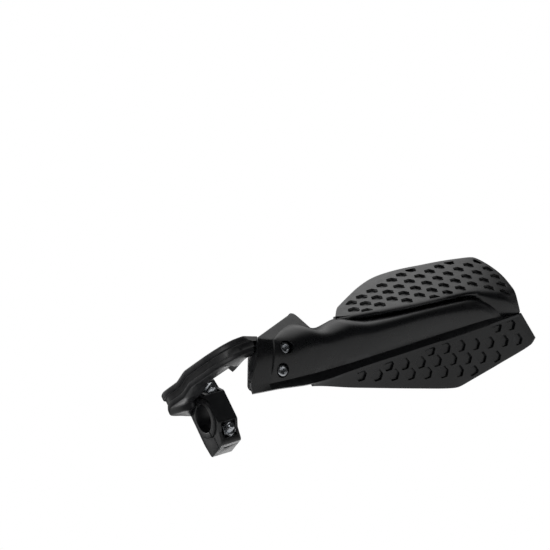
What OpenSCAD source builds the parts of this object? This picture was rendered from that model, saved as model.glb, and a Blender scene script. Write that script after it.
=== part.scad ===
// Left-hand motorcycle hand guard: a moulded shell with recessed hexagon fields, on a curved
// bracket arm that a two-piece clamp holds to the handlebar.
// Origin: centre of the clamp bore. +X runs outboard along the handlebar, -Y faces the road
// ahead, +Z is up. Millimetres.

/* [Handlebar clamp] */
// Diameter of the handlebar
bar_d = 22; // [21:0.1:24]
// Room between the bar and the closed clamp, on the diameter
bar_clearance = 0.2; // [0:0.05:0.4]
// Width of the clamp along the bar
clamp_w = 17; // [14:0.5:22]
// Wall between the bar and the front face of the cap
cap_wall = 4.4; // [3.5:0.1:7]
// Wall between the bar and the rear face of the fixed half
rear_wall = 7.4; // [5:0.1:10]
// Wall between the bar and each clamp bolt
bolt_wall = 3.3; // [2.5:0.1:6]
// Material outside each clamp bolt, to the end of the lug
lug_end = 8.4; // [7:0.1:11]
// Thickness of the cap under its two nuts
lug_t = 6.7; // [5:0.1:8]
// Gap between the two halves when they are tightened on the bar
split_gap = 0.6; // [0.3:0.1:1.5]
// Height of the ring boss round the bore on the inboard face
ring_h = 1.6; // [0.5:0.1:3]
// Width of that ring boss
ring_w = 4.6; // [2:0.1:6]

/* [Clamp bolts] */
// Thread diameter of the two clamp bolts
bolt_d = 6; // [5:0.5:8]
// Clearance of a bolt in its hole, on the diameter
bolt_clearance = 0.4; // [0.2:0.1:1]
// Diameter of the socket head
bolt_head_d = 10; // [8:0.5:13]
// Height of the socket head
bolt_head_h = 6; // [4:0.5:8]
// Thread that stands out past each nut
bolt_stick_out = 6; // [2:0.5:10]
// Width across the flats of the clamp nuts
nut_af = 10; // [8:0.5:13]
// Thickness of the clamp nuts
nut_t = 5; // [4:0.5:7]

/* [Bracket arm] */
// Height of the arm's moulded section
arm_h = 14.5; // [12:0.5:18]
// Width of the arm's section, outer edge to inner edge
arm_w = 19; // [14:0.5:24]
// Height of the arm's top edge above the bar's centre, at the clamp
arm_top_z = 28.5; // [26:0.5:34]
// Angle at which the arm slopes down towards the shell
arm_slope = 8.5; // [0:0.5:14]
// Step in the arm between its straight run and the clamp
arm_step = 3.2; // [0:0.2:5]
// Distance of the arm's tip inboard of the clamp's middle
arm_tip_x = 34.5; // [28:0.5:40]
// Depth of the channel between the two edge ribs
channel_depth = 2.6; // [1:0.1:4]
// Height of the upper edge rib
rib_upper_h = 4; // [2.5:0.1:5]
// Height of the lower edge rib
rib_lower_h = 5.4; // [3:0.1:7]
// Thickness of the end plate that carries the shell
plate_t = 9; // [6:0.5:12]
// Gap between the end plate and the back of the shell
plate_gap = 0.1; // [0:0.05:0.5]

/* [Shell] */
// Wall thickness of the shell
shell_t = 3; // [2:0.1:4]
// Distance of the outboard tip from the clamp's middle
reach = 247.5; // [225:0.5:270]
// Height of the wing's highest point above the bar's centre
wing_top = 51.7; // [44:0.1:60]
// Depth of the lower panel's lowest point below the bar's centre
panel_bottom = 61.2; // [54:0.1:70]
// Height of the fin's top above the bar's centre
fin_top = 35.3; // [28:0.1:42]
// Distance of the wing's middle in front of the bar
wing_front = 109.75; // [104:0.05:116]
// Lean of the wing back from upright, in degrees
wing_lean = 33.7; // [28:0.1:39]
// Radius of the wing's bow along its length
wing_bow_r = 571; // [450:1:900]
// Radius of the wing's dish across its height
wing_dish_r = 213; // [150:1:400]
// Height of the raised spar's step near the inboard edge
border_step = 1.5; // [0.5:0.1:2.5]
// Greatest height of the spar's bulge
spar_bulge = 15; // [10:0.5:18]
// Height of the ledge between the spar and the lower panel
ledge_h = 5.8; // [3.5:0.1:7.5]

/* [Hexagon recesses] */
// Width across the corners of a recess
hex_d = 10; // [6:0.1:11]
// Depth of a recess
hex_depth = 1.8; // [0.6:0.1:2.2]
// How much wider the mouth is than the floor
hex_draft = 0.8; // [0:0.1:2]
// Pitch of the wing's recesses along its length
wing_pitch = 12.74; // [11:0.01:15]
// Pitch of the lower panel's recesses along its length
panel_pitch = 14.3; // [12:0.1:16]
// Pitch from row to row on the lower panel, measured upright
panel_row = 7.7; // [7:0.1:9]
// Plain margin between the recesses and the edges
hex_margin = 3.2; // [2:0.1:6]

/* [Shell screws] */
// Thread diameter of the two shell screws
screw_d = 5; // [4:0.5:6]
// Clearance of a screw in its hole, on the diameter
screw_clearance = 0.4; // [0.2:0.1:1]
// Diameter of the screw's socket head
screw_head_d = 8.5; // [7:0.5:10]
// Height of the screw's socket head
screw_head_h = 4; // [3:0.5:5]
// Room round the head in its counterbore, on the diameter
counterbore_clearance = 1.8; // [0.6:0.1:3]
// Shell left under the head of a screw
seat_t = 3.4; // [2.5:0.1:4.5]
// Distance of each screw from the middle between them
screw_half_pitch = 8.6; // [7:0.1:10]
// Width across the flats of the nuts behind the plate
screw_nut_af = 8; // [7:0.5:9]
// Thickness of those nuts
screw_nut_t = 4; // [3:0.5:5]
// Play of a nut in its pocket
nut_clearance = 0.3; // [0.1:0.1:0.6]

/* [Hidden] */
$fn = 48;
bore_r = (bar_d + bar_clearance) / 2;
bolt_z = bore_r + bolt_wall + bolt_d / 2;
lug_z = bolt_z + lug_end;
cap_y = -bore_r - cap_wall;
rear_y = bore_r + rear_wall;
lug_y = cap_y + 5.2;
nut_y = -lug_t;
head_y = rear_y - bolt_head_h - 0.4;
hex_r = 0.5 / cos(30);
COL_SHELL = "#55575b";
COL_ARM = "#1c1d1f";
COL_STEEL = "#b9bcc0";

// Smooth curve through a short list of [x, y] knots.
function knot(t, x, i = 0) = i >= len(t) - 2 || x < t[i + 1][0] ? i : knot(t, x, i + 1);
function knot_slope(t, i) = let (a = max(i - 1, 0), b = min(i + 1, len(t) - 1))
    (t[b][1] - t[a][1]) / (t[b][0] - t[a][0]);
function curve(t, x) = let (i = knot(t, x), h = t[i + 1][0] - t[i][0])
    hermite(t[i][1], t[i + 1][1], h * knot_slope(t, i), h * knot_slope(t, i + 1),
        min(max((x - t[i][0]) / h, 0), 1));
function hermite(a, b, ta, tb, u) = a * (1 + u * u * (2 * u - 3)) + b * u * u * (3 - 2 * u)
    + ta * u * (1 - u) * (1 - u) - tb * u * u * (1 - u);
// Smooth line through a list of points, n steps to each gap.
function smooth(p, n) = [for (i = [0:len(p) - 2], k = [0:n - 1])
        let (a = p[max(i - 1, 0)], d = p[min(i + 2, len(p) - 1)])
            hermite(p[i], p[i + 1], (p[i + 1] - a) / 2, (d - p[i]) / 2, k / n), p[len(p) - 1]];
function mix(a, b, t) = a * (1 - t) + b * t;

// Places along the length and heights, stretched with the named sizes.
x_root = 80.8;
function along(x) = x < x_root ? x : x_root + (x - x_root) * (reach - x_root) / 166.7;
function above(z) = z < 0 ? z : z * wing_top / 51.7;
function below(z) = z > -22 ? z : -22 + (z + 22) * (panel_bottom - 22) / 39.2;

// The wing's surface: leaned back, bowed along its length, dished across its height.
wing_mid = 151.5;
wing_twist = 7.12 / 3000;
function wing_y(x, z) = let (u = x - along(wing_mid), toe = min(max((x - along(190)) / 20, 0), 1))
    -wing_front - 0.0156 * u + z * tan(wing_lean) + u * u / (2 * wing_bow_r) - u * z * wing_twist
        + z * z / (2 * wing_dish_r) + toe * 0.034 * pow(max(0, -5 - z), 2);
function on_wing(p) = [p[0], wing_y(p[0], p[1]), p[1]];
wing_outer = [for (p = smooth([[80.8, 17.7], [89.5, 25.6], [95.1, 28.9], [112, 37.3], [126.4, 43.9],
        [142.5, 49.5], [156, 51.7], [173.7, 51.5], [191.8, 49.3], [211.3, 47.6], [230.7, 45.2],
        [242.4, 43.3], [245.8, 39.5], [247, 27.8], [245.6, 13.8], [240.9, -0.2], [236.2, -12],
        [235.2, -18.5], [236.6, -24.2]], 2)) [along(p[0]), above(p[1])]];
wing_inner = [for (p = smooth([[77.5, 12], [84, 9.6], [90, 8], [105, 4.8], [120, 2.2], [138, -0.6],
        [150, -1.4], [165, -2], [180, -2.5], [190.5, -3], [196, -3.9], [200.5, -5], [203, -5.8],
        [206, -6.8], [209.6, -8.4], [213, -11], [217.3, -14.8], [225, -20.6], [233, -25.9]], 2))
    [along(p[0]), above(p[1])]];

// The spar: its upper crease, its lower crease and the height of the bulge between them.
SPAR_TOP_Z = [[4.5, 13], [15, 10.8], [30, 12], [60, 13.2], [70, 15], [78, 16], [86, 12.6], [95, 8.4], [113, 5],
    [141, 2.5], [165, 1.5], [190, 0], [197, -2.3]];
SPAR_TOP_Y = [[4.5, -96], [15, -95], [30, -91], [60, -84.5], [70, -86.2], [78, -87.6], [86, -87.6], [95, -89], [113, -93],
    [141, -98], [165, -100], [197, -102.3]];
SPAR_LOW_Z = [[-11, -17.8], [5, -19], [56, -21], [80, -22], [219, -22.6]];
SPAR_LOW_Y = [[-11, -84], [5, -83.6], [30, -83.6], [55, -85], [80, -89], [118, -93], [165, -98],
    [203, -101], [219, -99]];
BULGE = [[4, 0.36], [15, 0.4], [36, 0.74], [60, 1], [110, 0.87], [165, 0.63], [206, 0.33]];
// Where each rib of the loft starts on the upper crease and ends on the lower one.
RIBS = [[4.5, -11, 0, -11], [10, -4, 0, -4], [16, 3.6, 0, 3.6], [16.9, 4.6, 1, 4.6], [22, 11, 1, 11],
    [29, 20, 1, 20], [37, 30, 1, 30], [48, 43, 1, 43], [60, 57, 1, 57], [72, 71, 1, 71],
    [84, 84, 1, 84], [98, 98, 1, 98], [112, 113, 1, 113], [126, 129, 1, 129], [140, 145, 1, 145],
    [154, 161, 1, 161], [168, 178, 1, 178], [180, 193, 1, 194], [190, 207, 1, 211],
    [197, 219, 1, 233]];
SPAR_STEPS = 7;
function spar_h(x, raised) = spar_bulge * curve(BULGE, x) - border_step * (1 - raised);
function spar_point(c, t) = let (a = [c[0], curve(SPAR_TOP_Y, c[0]), curve(SPAR_TOP_Z, c[0])],
        b = [c[1], curve(SPAR_LOW_Y, c[1]), curve(SPAR_LOW_Z, c[1])], m = mix(a, b, t),
        rise = spar_h((c[0] + c[1]) / 2, c[2]) * pow(sin(180 * pow(t, 0.92)), 0.85))
    [along(m[0]), m[1] - rise, m[2]];

// The ridge under the spar, where the ledge ends and the lower panel starts.
RIDGE_Y = [[-11, -82], [5, -83], [30, -83.7], [55, -85.3], [80, -89.3], [118, -93.3], [165, -98.3],
    [203, -101.3], [232, -103], [236, -103.4]];
RIDGE_DROP = [[-11, 0.72], [38, 1.08], [100, 1], [180, 0.9], [232, 0.6], [236, 0.52]];
function ridge_point(x) = [along(x), curve(RIDGE_Y, x),
    curve(SPAR_LOW_Z, min(x, 219)) - ledge_h * curve(RIDGE_DROP, x)];
spar_rows = [for (c = RIBS) concat([for (k = [0:SPAR_STEPS]) spar_point(c, k / SPAR_STEPS)],
    [ridge_point(c[3])])];

// The lower panel, from the ridge down to the bottom edge.
PANEL_Z = [[38, -26.6], [60, -31.5], [88.5, -40], [106.5, -45.3], [141.5, -55], [157.6, -60.6],
    [163.5, -61.2], [176.5, -59.6], [207.5, -55], [240, -49.6], [247.5, -45]];
PANEL_Y = [[38, -80], [60, -78], [100, -76], [140, -76.5], [164, -78], [187, -81], [215, -86],
    [247.5, -91.5]];
PANEL_RIBS = [[38, 38], [50, 50], [62, 62], [75, 75], [88, 88], [101, 101], [114, 114], [128, 128],
    [142, 142], [151, 152], [157, 158], [162, 163.5], [168, 170], [179, 182], [191, 195],
    [203, 208], [214, 221], [224, 234], [231, 242], [236, 247.5]];
function panel_foot(x) = [along(x), curve(PANEL_Y, x), below(curve(PANEL_Z, x))];
panel_rows = [for (c = PANEL_RIBS) [for (k = [0:2]) mix(ridge_point(c[0]), panel_foot(c[1]), k / 2)]];

// The wall from the wing's proud edge back to the spar.
WALL_TURN = 22;
wall_n = len(wing_inner) - 1;
function wall_foot(k) = k <= WALL_TURN
    ? let (x = mix(77.5, 197, (wing_inner[k][0] - along(77.5)) / (along(200.5) - along(77.5))))
        spar_point([x, x, 1, x], 0)
    : spar_point(RIBS[len(RIBS) - 1], (k - WALL_TURN) / (wall_n - WALL_TURN));

// Points on the back of a lofted sheet, mitred where its surface turns.
function unit(v) = v / norm(v);
function side(g, k, j, s) = let (a = g[max(k - 1, 0)][j], b = g[min(k + 1, len(g) - 1)][j],
        m = len(g[0]) - 1, j2 = min(max(j + s, 0), m) == j ? j - s : j + s)
    unit(cross(b - a, (g[k][j2] - g[k][j]) * (j2 > j ? 1 : -1)));
function behind(g, t) = [for (k = [0:len(g) - 1]) [for (j = [0:len(g[0]) - 1])
        let (n1 = side(g, k, j, -1), n2 = side(g, k, j, 1))
            g[k][j] + t * (n1 + n2) / max(1 + n1 * n2, 0.5)]];

// A closed solid between two grids of points with the same rows and columns.
module loft(front, back) {
    n = len(front);
    m = len(front[0]);
    p = concat([for (r = front) each r], [for (r = back) each r]);
    b = n * m;
    skin = [for (i = [0:n - 2], j = [0:m - 2]) let (a = i * m + j)
        each [[a, a + 1, a + m + 1], [a, a + m + 1, a + m]]];
    lining = [for (f = skin) [f[2] + b, f[1] + b, f[0] + b]];
    ends = [for (j = [0:m - 2], e = [0, 1]) let (a = e * (n - 1) * m + j)
        each e == 0 ? [[a + 1, a, a + b], [a + 1, a + b, a + b + 1]]
            : [[a, a + 1, a + b + 1], [a, a + b + 1, a + b]]];
    rims = [for (i = [0:n - 2], e = [0, 1]) let (a = i * m + e * (m - 1))
        each e == 0 ? [[a, a + m, a + m + b], [a, a + m + b, a + b]]
            : [[a + m, a, a + b], [a + m, a + b, a + m + b]]];
    polyhedron(p, [for (f = concat(skin, lining, ends, rims)) [f[2], f[1], f[0]]]);
}

// The pad's screw axis, square to the end plate's front face.
PAD_TILT = 16.7;
pad_y = -81.6;
pad_x = 19.75;
pad_v = -20.1;
pad_turn = 27;
module at_pad() {
    rotate([PAD_TILT, 0, 0]) translate([pad_x, pad_y, 0]) rotate([-90, 0, 0]) children();
}
module at_screw(s) {
    at_pad() translate([s * screw_half_pitch * sin(pad_turn),
        pad_v - s * screw_half_pitch * cos(pad_turn), 0]) children();
}

// A polygon with its corners rounded: each point is [x, y, radius].
function fillet(p, n = 5) = [for (i = [0:len(p) - 1])
    let (c = [p[i][0], p[i][1]], q = p[(i + len(p) - 1) % len(p)], s = p[(i + 1) % len(p)],
        u = unit([q[0], q[1]] - c), w = unit([s[0], s[1]] - c), r = p[i][2], half = acos(u * w) / 2,
        d = r / tan(half), o = c + unit(u + w) * r / sin(half), a = c + u * d - o, b = c + w * d - o)
    each r == 0 ? [c] : [for (k = [0:n]) let (t = k / n, m = unit(mix(a, b, t))) o + m * r]];

// The fin above the pad, a flat web that runs up and back to a rounded top.
FIN_SLOPE_X = 0.22;
FIN_SLOPE_Z = 0.44;
function on_fin(p) = [p[0], -96 + FIN_SLOPE_X * (p[0] - 4.5) + FIN_SLOPE_Z * (p[1] - 13), p[1]];
FIN_NOSE = [[50, mix(13, fin_top, 45.5 / 52.5)], [54, fin_top - 0.8], [56.5, fin_top - 1.6],
    [57.6, fin_top - 3.4], [58.4, fin_top - 9], [59.4, 15.4]];
fin_rows = [for (x = [4.5, 12, 20, 28, 36, 44, 50, 54, 56.5, 57.6, 58.4, 59.4])
    let (top = x <= 50 ? mix(13, fin_top, (x - 4.5) / 52.5) : curve(FIN_NOSE, x), low = curve(SPAR_TOP_Z, x) - 1)
        [for (k = [0:3]) on_fin([x, mix(top, low, k / 3)])]];

// Recess fields: each recess is [along, up] in front view, in rows that lie close together.
function wing_hex(i, j) = [116.22 + 7.3 * i * wing_pitch / 12.74 + wing_pitch * j + 0.63 * i * j,
    29.97 - 6.9 * i + 3.21 * j - 0.38 * i * j];
function panel_hex(r, k) = let (x = 165.5 + panel_pitch * (k + (4 - r) * 0.53), lean = 0.031 + 0.05 * r)
    [x, -32.7 - panel_row * (r - 2) - lean * (x - 150)];
function edge_gap(p, a, b) = let (t = (p - a) * (b - a) / ((b - a) * (b - a)))
    norm(p - mix(a, b, min(max(t, 0), 1)));
function gap_to(poly, p) = min([for (i = [0:len(poly) - 1]) edge_gap(p, poly[i], poly[(i + 1) % len(poly)])]);
function crossings(poly, p) = len([for (i = [0:len(poly) - 1]) let (a = poly[i], b = poly[(i + 1) % len(poly)])
    if ((a[1] > p[1]) != (b[1] > p[1]) && p[0] < mix(a[0], b[0], (p[1] - a[1]) / (b[1] - a[1]))) 1]);
function fits(poly, p, gap) = crossings(poly, p) % 2 == 1 && gap_to(poly, p) > gap;
wing_face = [each wing_outer, for (k = [wall_n:-1:0]) wing_inner[k]];
panel_face = [for (r = panel_rows) [r[0][0], r[0][2]],
    for (k = [len(panel_rows) - 1:-1:0]) [panel_rows[k][2][0], panel_rows[k][2][2]]];
wing_hexes = [for (i = [-1:6], j = [-1:8]) let (p = wing_hex(i, j)) if (fits(wing_face, p, hex_margin + 1)) p];
panel_hexes = [for (r = [1:4], k = [-6:5]) let (p = panel_hex(r, k)) if (fits(panel_face, p, hex_margin)) p];
function panel_y(p) = let (a = ridge_point(min(p[0], 236)), b = panel_foot(p[0]), t = (a[2] - p[1]) / (a[2] - b[2]))
    mix(a[1], b[1], t);
function on_panel(p) = [p[0], panel_y(p), p[1]];
// One drafted cutter, square to the surface f at p, long corners along the surface's length.
module recess(q, tx, tz) {
    n = unit(cross(tz, tx));
    u = unit(tx);
    v = cross(n, u);
    multmatrix([[u[0], v[0], n[0], q[0]], [u[1], v[1], n[1], q[1]], [u[2], v[2], n[2], q[2]]])
        hull() {
            translate([0, 0, -hex_depth]) linear_extrude(0.01) circle(d = hex_d - hex_draft, $fn = 6);
            translate([0, 0, 0.6]) linear_extrude(0.01) circle(d = hex_d + hex_draft * 0.6, $fn = 6);
        }
}
module wing_recesses() {
    intersection() {
        union() {
            for (p = wing_hexes) {
                q = on_wing(p);
                recess(q, on_wing(p + [1, 0]) - q, on_wing(p + [0, 1]) - q);
            }
        }
        translate([0, -60, 0]) rotate([90, 0, 0]) linear_extrude(80) offset(delta = -hex_margin)
            polygon(wing_face);
    }
}
module panel_recesses() {
    intersection() {
        union() {
            for (p = panel_hexes) {
                q = on_panel(p);
                recess(q, on_panel(p + [1, 0]) - q, on_panel(p + [0, 1]) - q);
            }
        }
        translate([0, -60, 0]) rotate([90, 0, 0]) linear_extrude(80) offset(delta = -hex_margin * 0.8)
            polygon(panel_face);
    }
}

module wing_solid() {
    front = [for (k = [0:wall_n]) [for (j = [0:4]) on_wing(mix(wing_outer[k], wing_inner[k], j / 4))]];
    loft(front, behind(front, shell_t));
}
module wall_solid() {
    front = [for (k = [2:wall_n]) let (e = on_wing(wing_inner[k]), f = wall_foot(k))
        [e, f, f + unit(f - e) * shell_t * 0.8]];
    up = behind(front, 1);
    back = [for (k = [0:len(front) - 1]) let (n = up[k][2] - front[k][2], e = front[k][0],
        w = unit(cross(on_wing(wing_inner[k + 2] + [0, 1]) - e, on_wing(wing_inner[k + 2] + [1, 0]) - e)))
        [e + w * shell_t * 0.4, front[k][1] + n * shell_t, front[k][2] + n * shell_t]];
    loft(front, back);
}
module spar_solid() {
    front = [for (k = [0:len(spar_rows) - 1]) let (r = spar_rows[k], hidden = RIBS[k][0] > 76 ? 0.8 : 0)
        concat([r[0] + unit(r[0] - r[1]) * (0.02 + shell_t * hidden)], r)];
    loft(front, behind(front, shell_t));
}
module seat_solid() {
    tilt = [0, cos(PAD_TILT), sin(PAD_TILT)];
    ribs = [for (k = [0:6]) k];
    front = [for (k = ribs) [for (j = [1:SPAR_STEPS]) spar_rows[k][j] + [0, shell_t * 0.6, 0]]];
    back = [for (r = front) [for (p = r) p + tilt * max(pad_y - p * tilt, 0.4)]];
    loft(front, back);
}
module shell() {
    color(COL_SHELL) difference() {
        union() {
            wing_solid();
            wall_solid();
            spar_solid();
            loft(panel_rows, behind(panel_rows, shell_t));
            loft(fin_rows, behind(fin_rows, shell_t));
            seat_solid();
        }
        wing_recesses();
        panel_recesses();
        at_pad() translate([-40, -37.4, 0]) cube([56, 50, 30]);
        for (s = [-1, 1]) {
            at_screw(s) translate([0, 0, -20]) cylinder(d = screw_d + screw_clearance, h = 40, $fn = 32);
            at_screw(s) translate([0, 0, -20 - seat_t])
                cylinder(d = screw_head_d + counterbore_clearance, h = 20, $fn = 40);
        }
    }
}

// The arm in plan, with its outer edge first, and in side view.
arm_plan = fillet([[14, -98, 0], [1, -98, 0], [-11, -85.5, 8], [-16.5, -78, 12], [-21, -64, 30],
    [-27.6, -32.4, 40], [-arm_tip_x + 0.3, -3, 4], [-arm_tip_x + 2, 4, 5], [-20, 11.5, 20],
    [-11, 17.5, 5], [-clamp_w / 2 + 1, rear_y, 0], [-clamp_w / 2 + 1, split_gap / 2, 0],
    [-clamp_w / 2, split_gap / 2, 0], [-clamp_w / 2, -14, 0], [-arm_tip_x + 27 - 1, -33, 10],
    [-arm_tip_x + 34 - 1.4, -64, 30], [-0.6, -81, 8], [14, -92, 0]]);
arm_rise = tan(arm_slope);
y_step = [-34, -22];
function arm_top(y) = arm_top_z + (y < -28 ? (y + 22) * arm_rise + arm_step - 1.8 : (min(y, -4) + 4) * 0.13);
arm_edge = [[-110, arm_top(-110)], [y_step[0], arm_top(y_step[0])], [y_step[1], arm_top(y_step[1])],
    [-4, arm_top(-4)], [40, arm_top(-4)]];
module arm_side(up, down, low_tail) {
    translate([-80, 0, 0]) rotate([90, 0, 90]) linear_extrude(160) polygon([
        for (p = arm_edge) [p[0], p[1] - up],
        [40, arm_top(-4) - arm_h - low_tail + down], [4, arm_top(-4) - arm_h - low_tail + down],
        for (k = [3:-1:0]) [arm_edge[k][0], arm_edge[k][1] - arm_h + down]]);
}
module arm_beam() {
    difference() {
        intersection() {
            translate([0, 0, -60]) linear_extrude(120) polygon(arm_plan);
            arm_side(0, 0, 3);
        }
        difference() {
            arm_side(rib_upper_h, rib_lower_h, 3);
            translate([channel_depth, -channel_depth * 0.8, -60]) linear_extrude(120) polygon(arm_plan);
            translate([-clamp_w / 2 - 2, -28, -60]) cube([60, 80, 120]);
            translate([-10, -100, -60]) cube([60, 60, 120]);
        }
    }
}
module end_plate() {
    at_pad() linear_extrude(plate_t) polygon(fillet([[-28.6, -4.5, 4], [-16.5, -36.5, 4],
        [10, -36.5, 5], [10, -4.5, 5]]));
}
module rear_half() {
    translate([-clamp_w / 2, 0, 0]) rotate([90, 0, 90]) linear_extrude(clamp_w) polygon(fillet([
        [split_gap / 2, -lug_z, 0], [rear_y - 2.2, -lug_z, 3], [rear_y, -lug_z + 12, 8],
        [rear_y, lug_z, 3], [split_gap / 2, lug_z, 0]]));
}
module bore_ring() {
    translate([-clamp_w / 2 - ring_h, 0, 0]) rotate([0, 90, 0]) cylinder(r = bore_r + ring_w, h = ring_h + 2);
}
module bore() {
    translate([-60, 0, 0]) rotate([0, 90, 0]) cylinder(r = bore_r, h = 120, $fn = 96);
}
module bolt_holes() {
    for (s = [-1, 1]) translate([0, 0, s * bolt_z]) rotate([-90, 0, 0]) translate([0, 0, -40])
        cylinder(d = bolt_d + bolt_clearance, h = 80);
}
module bracket_arm() {
    color(COL_ARM) difference() {
        union() {
            difference() {
                union() {
                    arm_beam();
                    end_plate();
                }
                at_pad() translate([-60, -80, -40]) cube([120, 120, 40 + plate_gap]);
            }
            rear_half();
            difference() {
                bore_ring();
                translate([-40, split_gap / 2 - 40, -40]) cube([80, 40, 80]);
            }
        }
        bore();
        bolt_holes();
        for (s = [-1, 1]) translate([0, head_y, s * bolt_z]) rotate([-90, 0, 0])
            cylinder(d = bolt_head_d + 0.8, h = 40);
        for (s = [-1, 1]) {
            at_screw(s) translate([0, 0, -10]) cylinder(d = screw_d + screw_clearance, h = 40);
            at_screw(s) translate([0, 0, plate_t - screw_nut_t]) rotate(30)
                cylinder(r = (screw_nut_af + nut_clearance) * hex_r, h = 20, $fn = 6);
        }
        translate([-4, -1, -lug_z - 1]) cube([5, 3, 4]);
    }
}
module clamp_cap() {
    color(COL_ARM) difference() {
        union() {
            translate([-clamp_w / 2, 0, 0]) rotate([90, 0, 90]) linear_extrude(clamp_w) polygon(fillet([
                [-split_gap / 2, lug_z, 0], [lug_y + 1.6, lug_z, 2.5], [lug_y, bolt_z, 1.5],
                [cap_y, bolt_z - 5, 2.5], [cap_y, 5 - bolt_z, 2.5], [lug_y, -bolt_z, 1.5],
                [lug_y + 3.2, -lug_z, 2.5], [-split_gap / 2, -lug_z, 0]]));
            difference() {
                bore_ring();
                translate([-40, -split_gap / 2, -40]) cube([80, 40, 80]);
            }
        }
        bore();
        bolt_holes();
        for (s = [-1, 1]) translate([-nut_af / 2 * 1.1, nut_y - 30, s * bolt_z - nut_af / 2 - nut_clearance / 2])
            cube([clamp_w, 30, nut_af + nut_clearance]);
    }
}

module clamp_bolt() {
    rotate([-90, 0, 0]) {
        translate([0, 0, nut_y - nut_t - bolt_stick_out]) cylinder(d = bolt_d, h = head_y - nut_y + nut_t
            + bolt_stick_out);
        difference() {
            translate([0, 0, head_y]) cylinder(d = bolt_head_d, h = bolt_head_h);
            translate([0, 0, head_y + bolt_head_h * 0.5]) rotate(30)
                cylinder(d = bolt_head_d * 0.56, h = bolt_head_h, $fn = 6);
        }
    }
}
module nut(af, t, bore_d) {
    difference() {
        cylinder(r = af * hex_r, h = t, $fn = 6);
        translate([0, 0, -1]) cylinder(d = bore_d, h = t + 2);
    }
}
module clamp_nut() {
    rotate([-90, 0, 0]) translate([0, 0, nut_y - nut_t]) nut(nut_af, nut_t, bolt_d);
}
module screw() {
    translate([0, 0, -seat_t]) cylinder(d = screw_d, h = seat_t + plate_t + 0.6);
    difference() {
        translate([0, 0, -seat_t - screw_head_h]) cylinder(d = screw_head_d, h = screw_head_h);
        translate([0, 0, -seat_t - screw_head_h - 1]) rotate(30)
            cylinder(d = screw_head_d * 0.56, h = 1 + screw_head_h * 0.55, $fn = 6);
    }
}
module screw_nut() {
    translate([0, 0, plate_t - screw_nut_t]) rotate(30) nut(screw_nut_af, screw_nut_t, screw_d);
}
module clamp_bolt_upper() {
    color(COL_STEEL) translate([0, 0, bolt_z]) clamp_bolt();
}
module clamp_bolt_lower() {
    color(COL_STEEL) translate([0, 0, -bolt_z]) clamp_bolt();
}
module clamp_nut_upper() {
    color(COL_STEEL) translate([0, 0, bolt_z]) clamp_nut();
}
module clamp_nut_lower() {
    color(COL_STEEL) translate([0, 0, -bolt_z]) clamp_nut();
}
module shell_screw_upper() {
    color(COL_STEEL) at_screw(1) screw();
}
module shell_screw_lower() {
    color(COL_STEEL) at_screw(-1) screw();
}
module shell_nut_upper() {
    color(COL_STEEL) at_screw(1) screw_nut();
}
module shell_nut_lower() {
    color(COL_STEEL) at_screw(-1) screw_nut();
}

shell();
bracket_arm();
clamp_cap();
clamp_bolt_upper();
clamp_bolt_lower();
clamp_nut_upper();
clamp_nut_lower();
shell_screw_upper();
shell_screw_lower();
shell_nut_upper();
shell_nut_lower();
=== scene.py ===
"""Looks for the left motorcycle hand guard: moulded shell, bracket arm, bar clamp and hardware."""

import logging
import math
from dataclasses import dataclass
from enum import Enum
from functools import partial
from typing import Any, Callable, Sequence

import bmesh
import bpy
import numpy as np
from mathutils import Matrix, Vector


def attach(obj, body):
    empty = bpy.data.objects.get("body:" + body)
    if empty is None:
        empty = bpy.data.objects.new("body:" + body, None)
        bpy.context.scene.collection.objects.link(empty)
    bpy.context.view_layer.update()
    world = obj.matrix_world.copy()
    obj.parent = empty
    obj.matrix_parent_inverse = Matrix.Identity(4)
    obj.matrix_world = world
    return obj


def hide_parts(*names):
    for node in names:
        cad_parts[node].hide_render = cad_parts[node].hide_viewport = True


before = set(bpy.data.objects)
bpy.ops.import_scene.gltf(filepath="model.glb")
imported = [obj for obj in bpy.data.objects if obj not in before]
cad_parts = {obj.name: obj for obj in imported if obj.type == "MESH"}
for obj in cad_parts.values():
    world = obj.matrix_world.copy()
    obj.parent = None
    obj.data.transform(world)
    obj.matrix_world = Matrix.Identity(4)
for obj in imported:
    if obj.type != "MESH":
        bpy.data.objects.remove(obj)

LOG = logging.getLogger("hand_guard")
logging.basicConfig(level=logging.INFO, format="%(message)s")
MM = 0.001
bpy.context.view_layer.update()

Piece = bpy.types.Object
Material = bpy.types.Material
Tree = bpy.types.NodeTree
Socket = bpy.types.NodeSocket
Value = float | np.ndarray
Radius = Callable[[float, float], float]
Place = tuple[np.ndarray, np.ndarray, np.ndarray]

# Places on the shell that the bracket shares, in millimetres and radians
PAD_TILT = math.radians(16.7)
PAD_X = 19.75
SEAT_Y = -81.6
SEAT_GAP = 0.1
FIN_CORNER = (4.5, -96.0, 13.0)
FIN_SWEEP = 0.22
FIN_LEAN = 0.44


# Small maths


def fin_y(x: float, z: float) -> float:
    """Where the fin's front lies, fore and aft, at a place and a height."""
    return FIN_CORNER[1] + FIN_SWEEP * (x - FIN_CORNER[0]) + FIN_LEAN * (z - FIN_CORNER[2])


def hermite(a: Value, b: Value, ta: Value, tb: Value, u: float) -> Value:
    """Cubic from a to b, whose slopes over the whole gap are ta and tb, at u from 0 to 1."""
    ends = a * (1 + u * u * (2 * u - 3)) + b * u * u * (3 - 2 * u)
    return ends + ta * u * (1 - u) ** 2 - tb * u * u * (1 - u)


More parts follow.
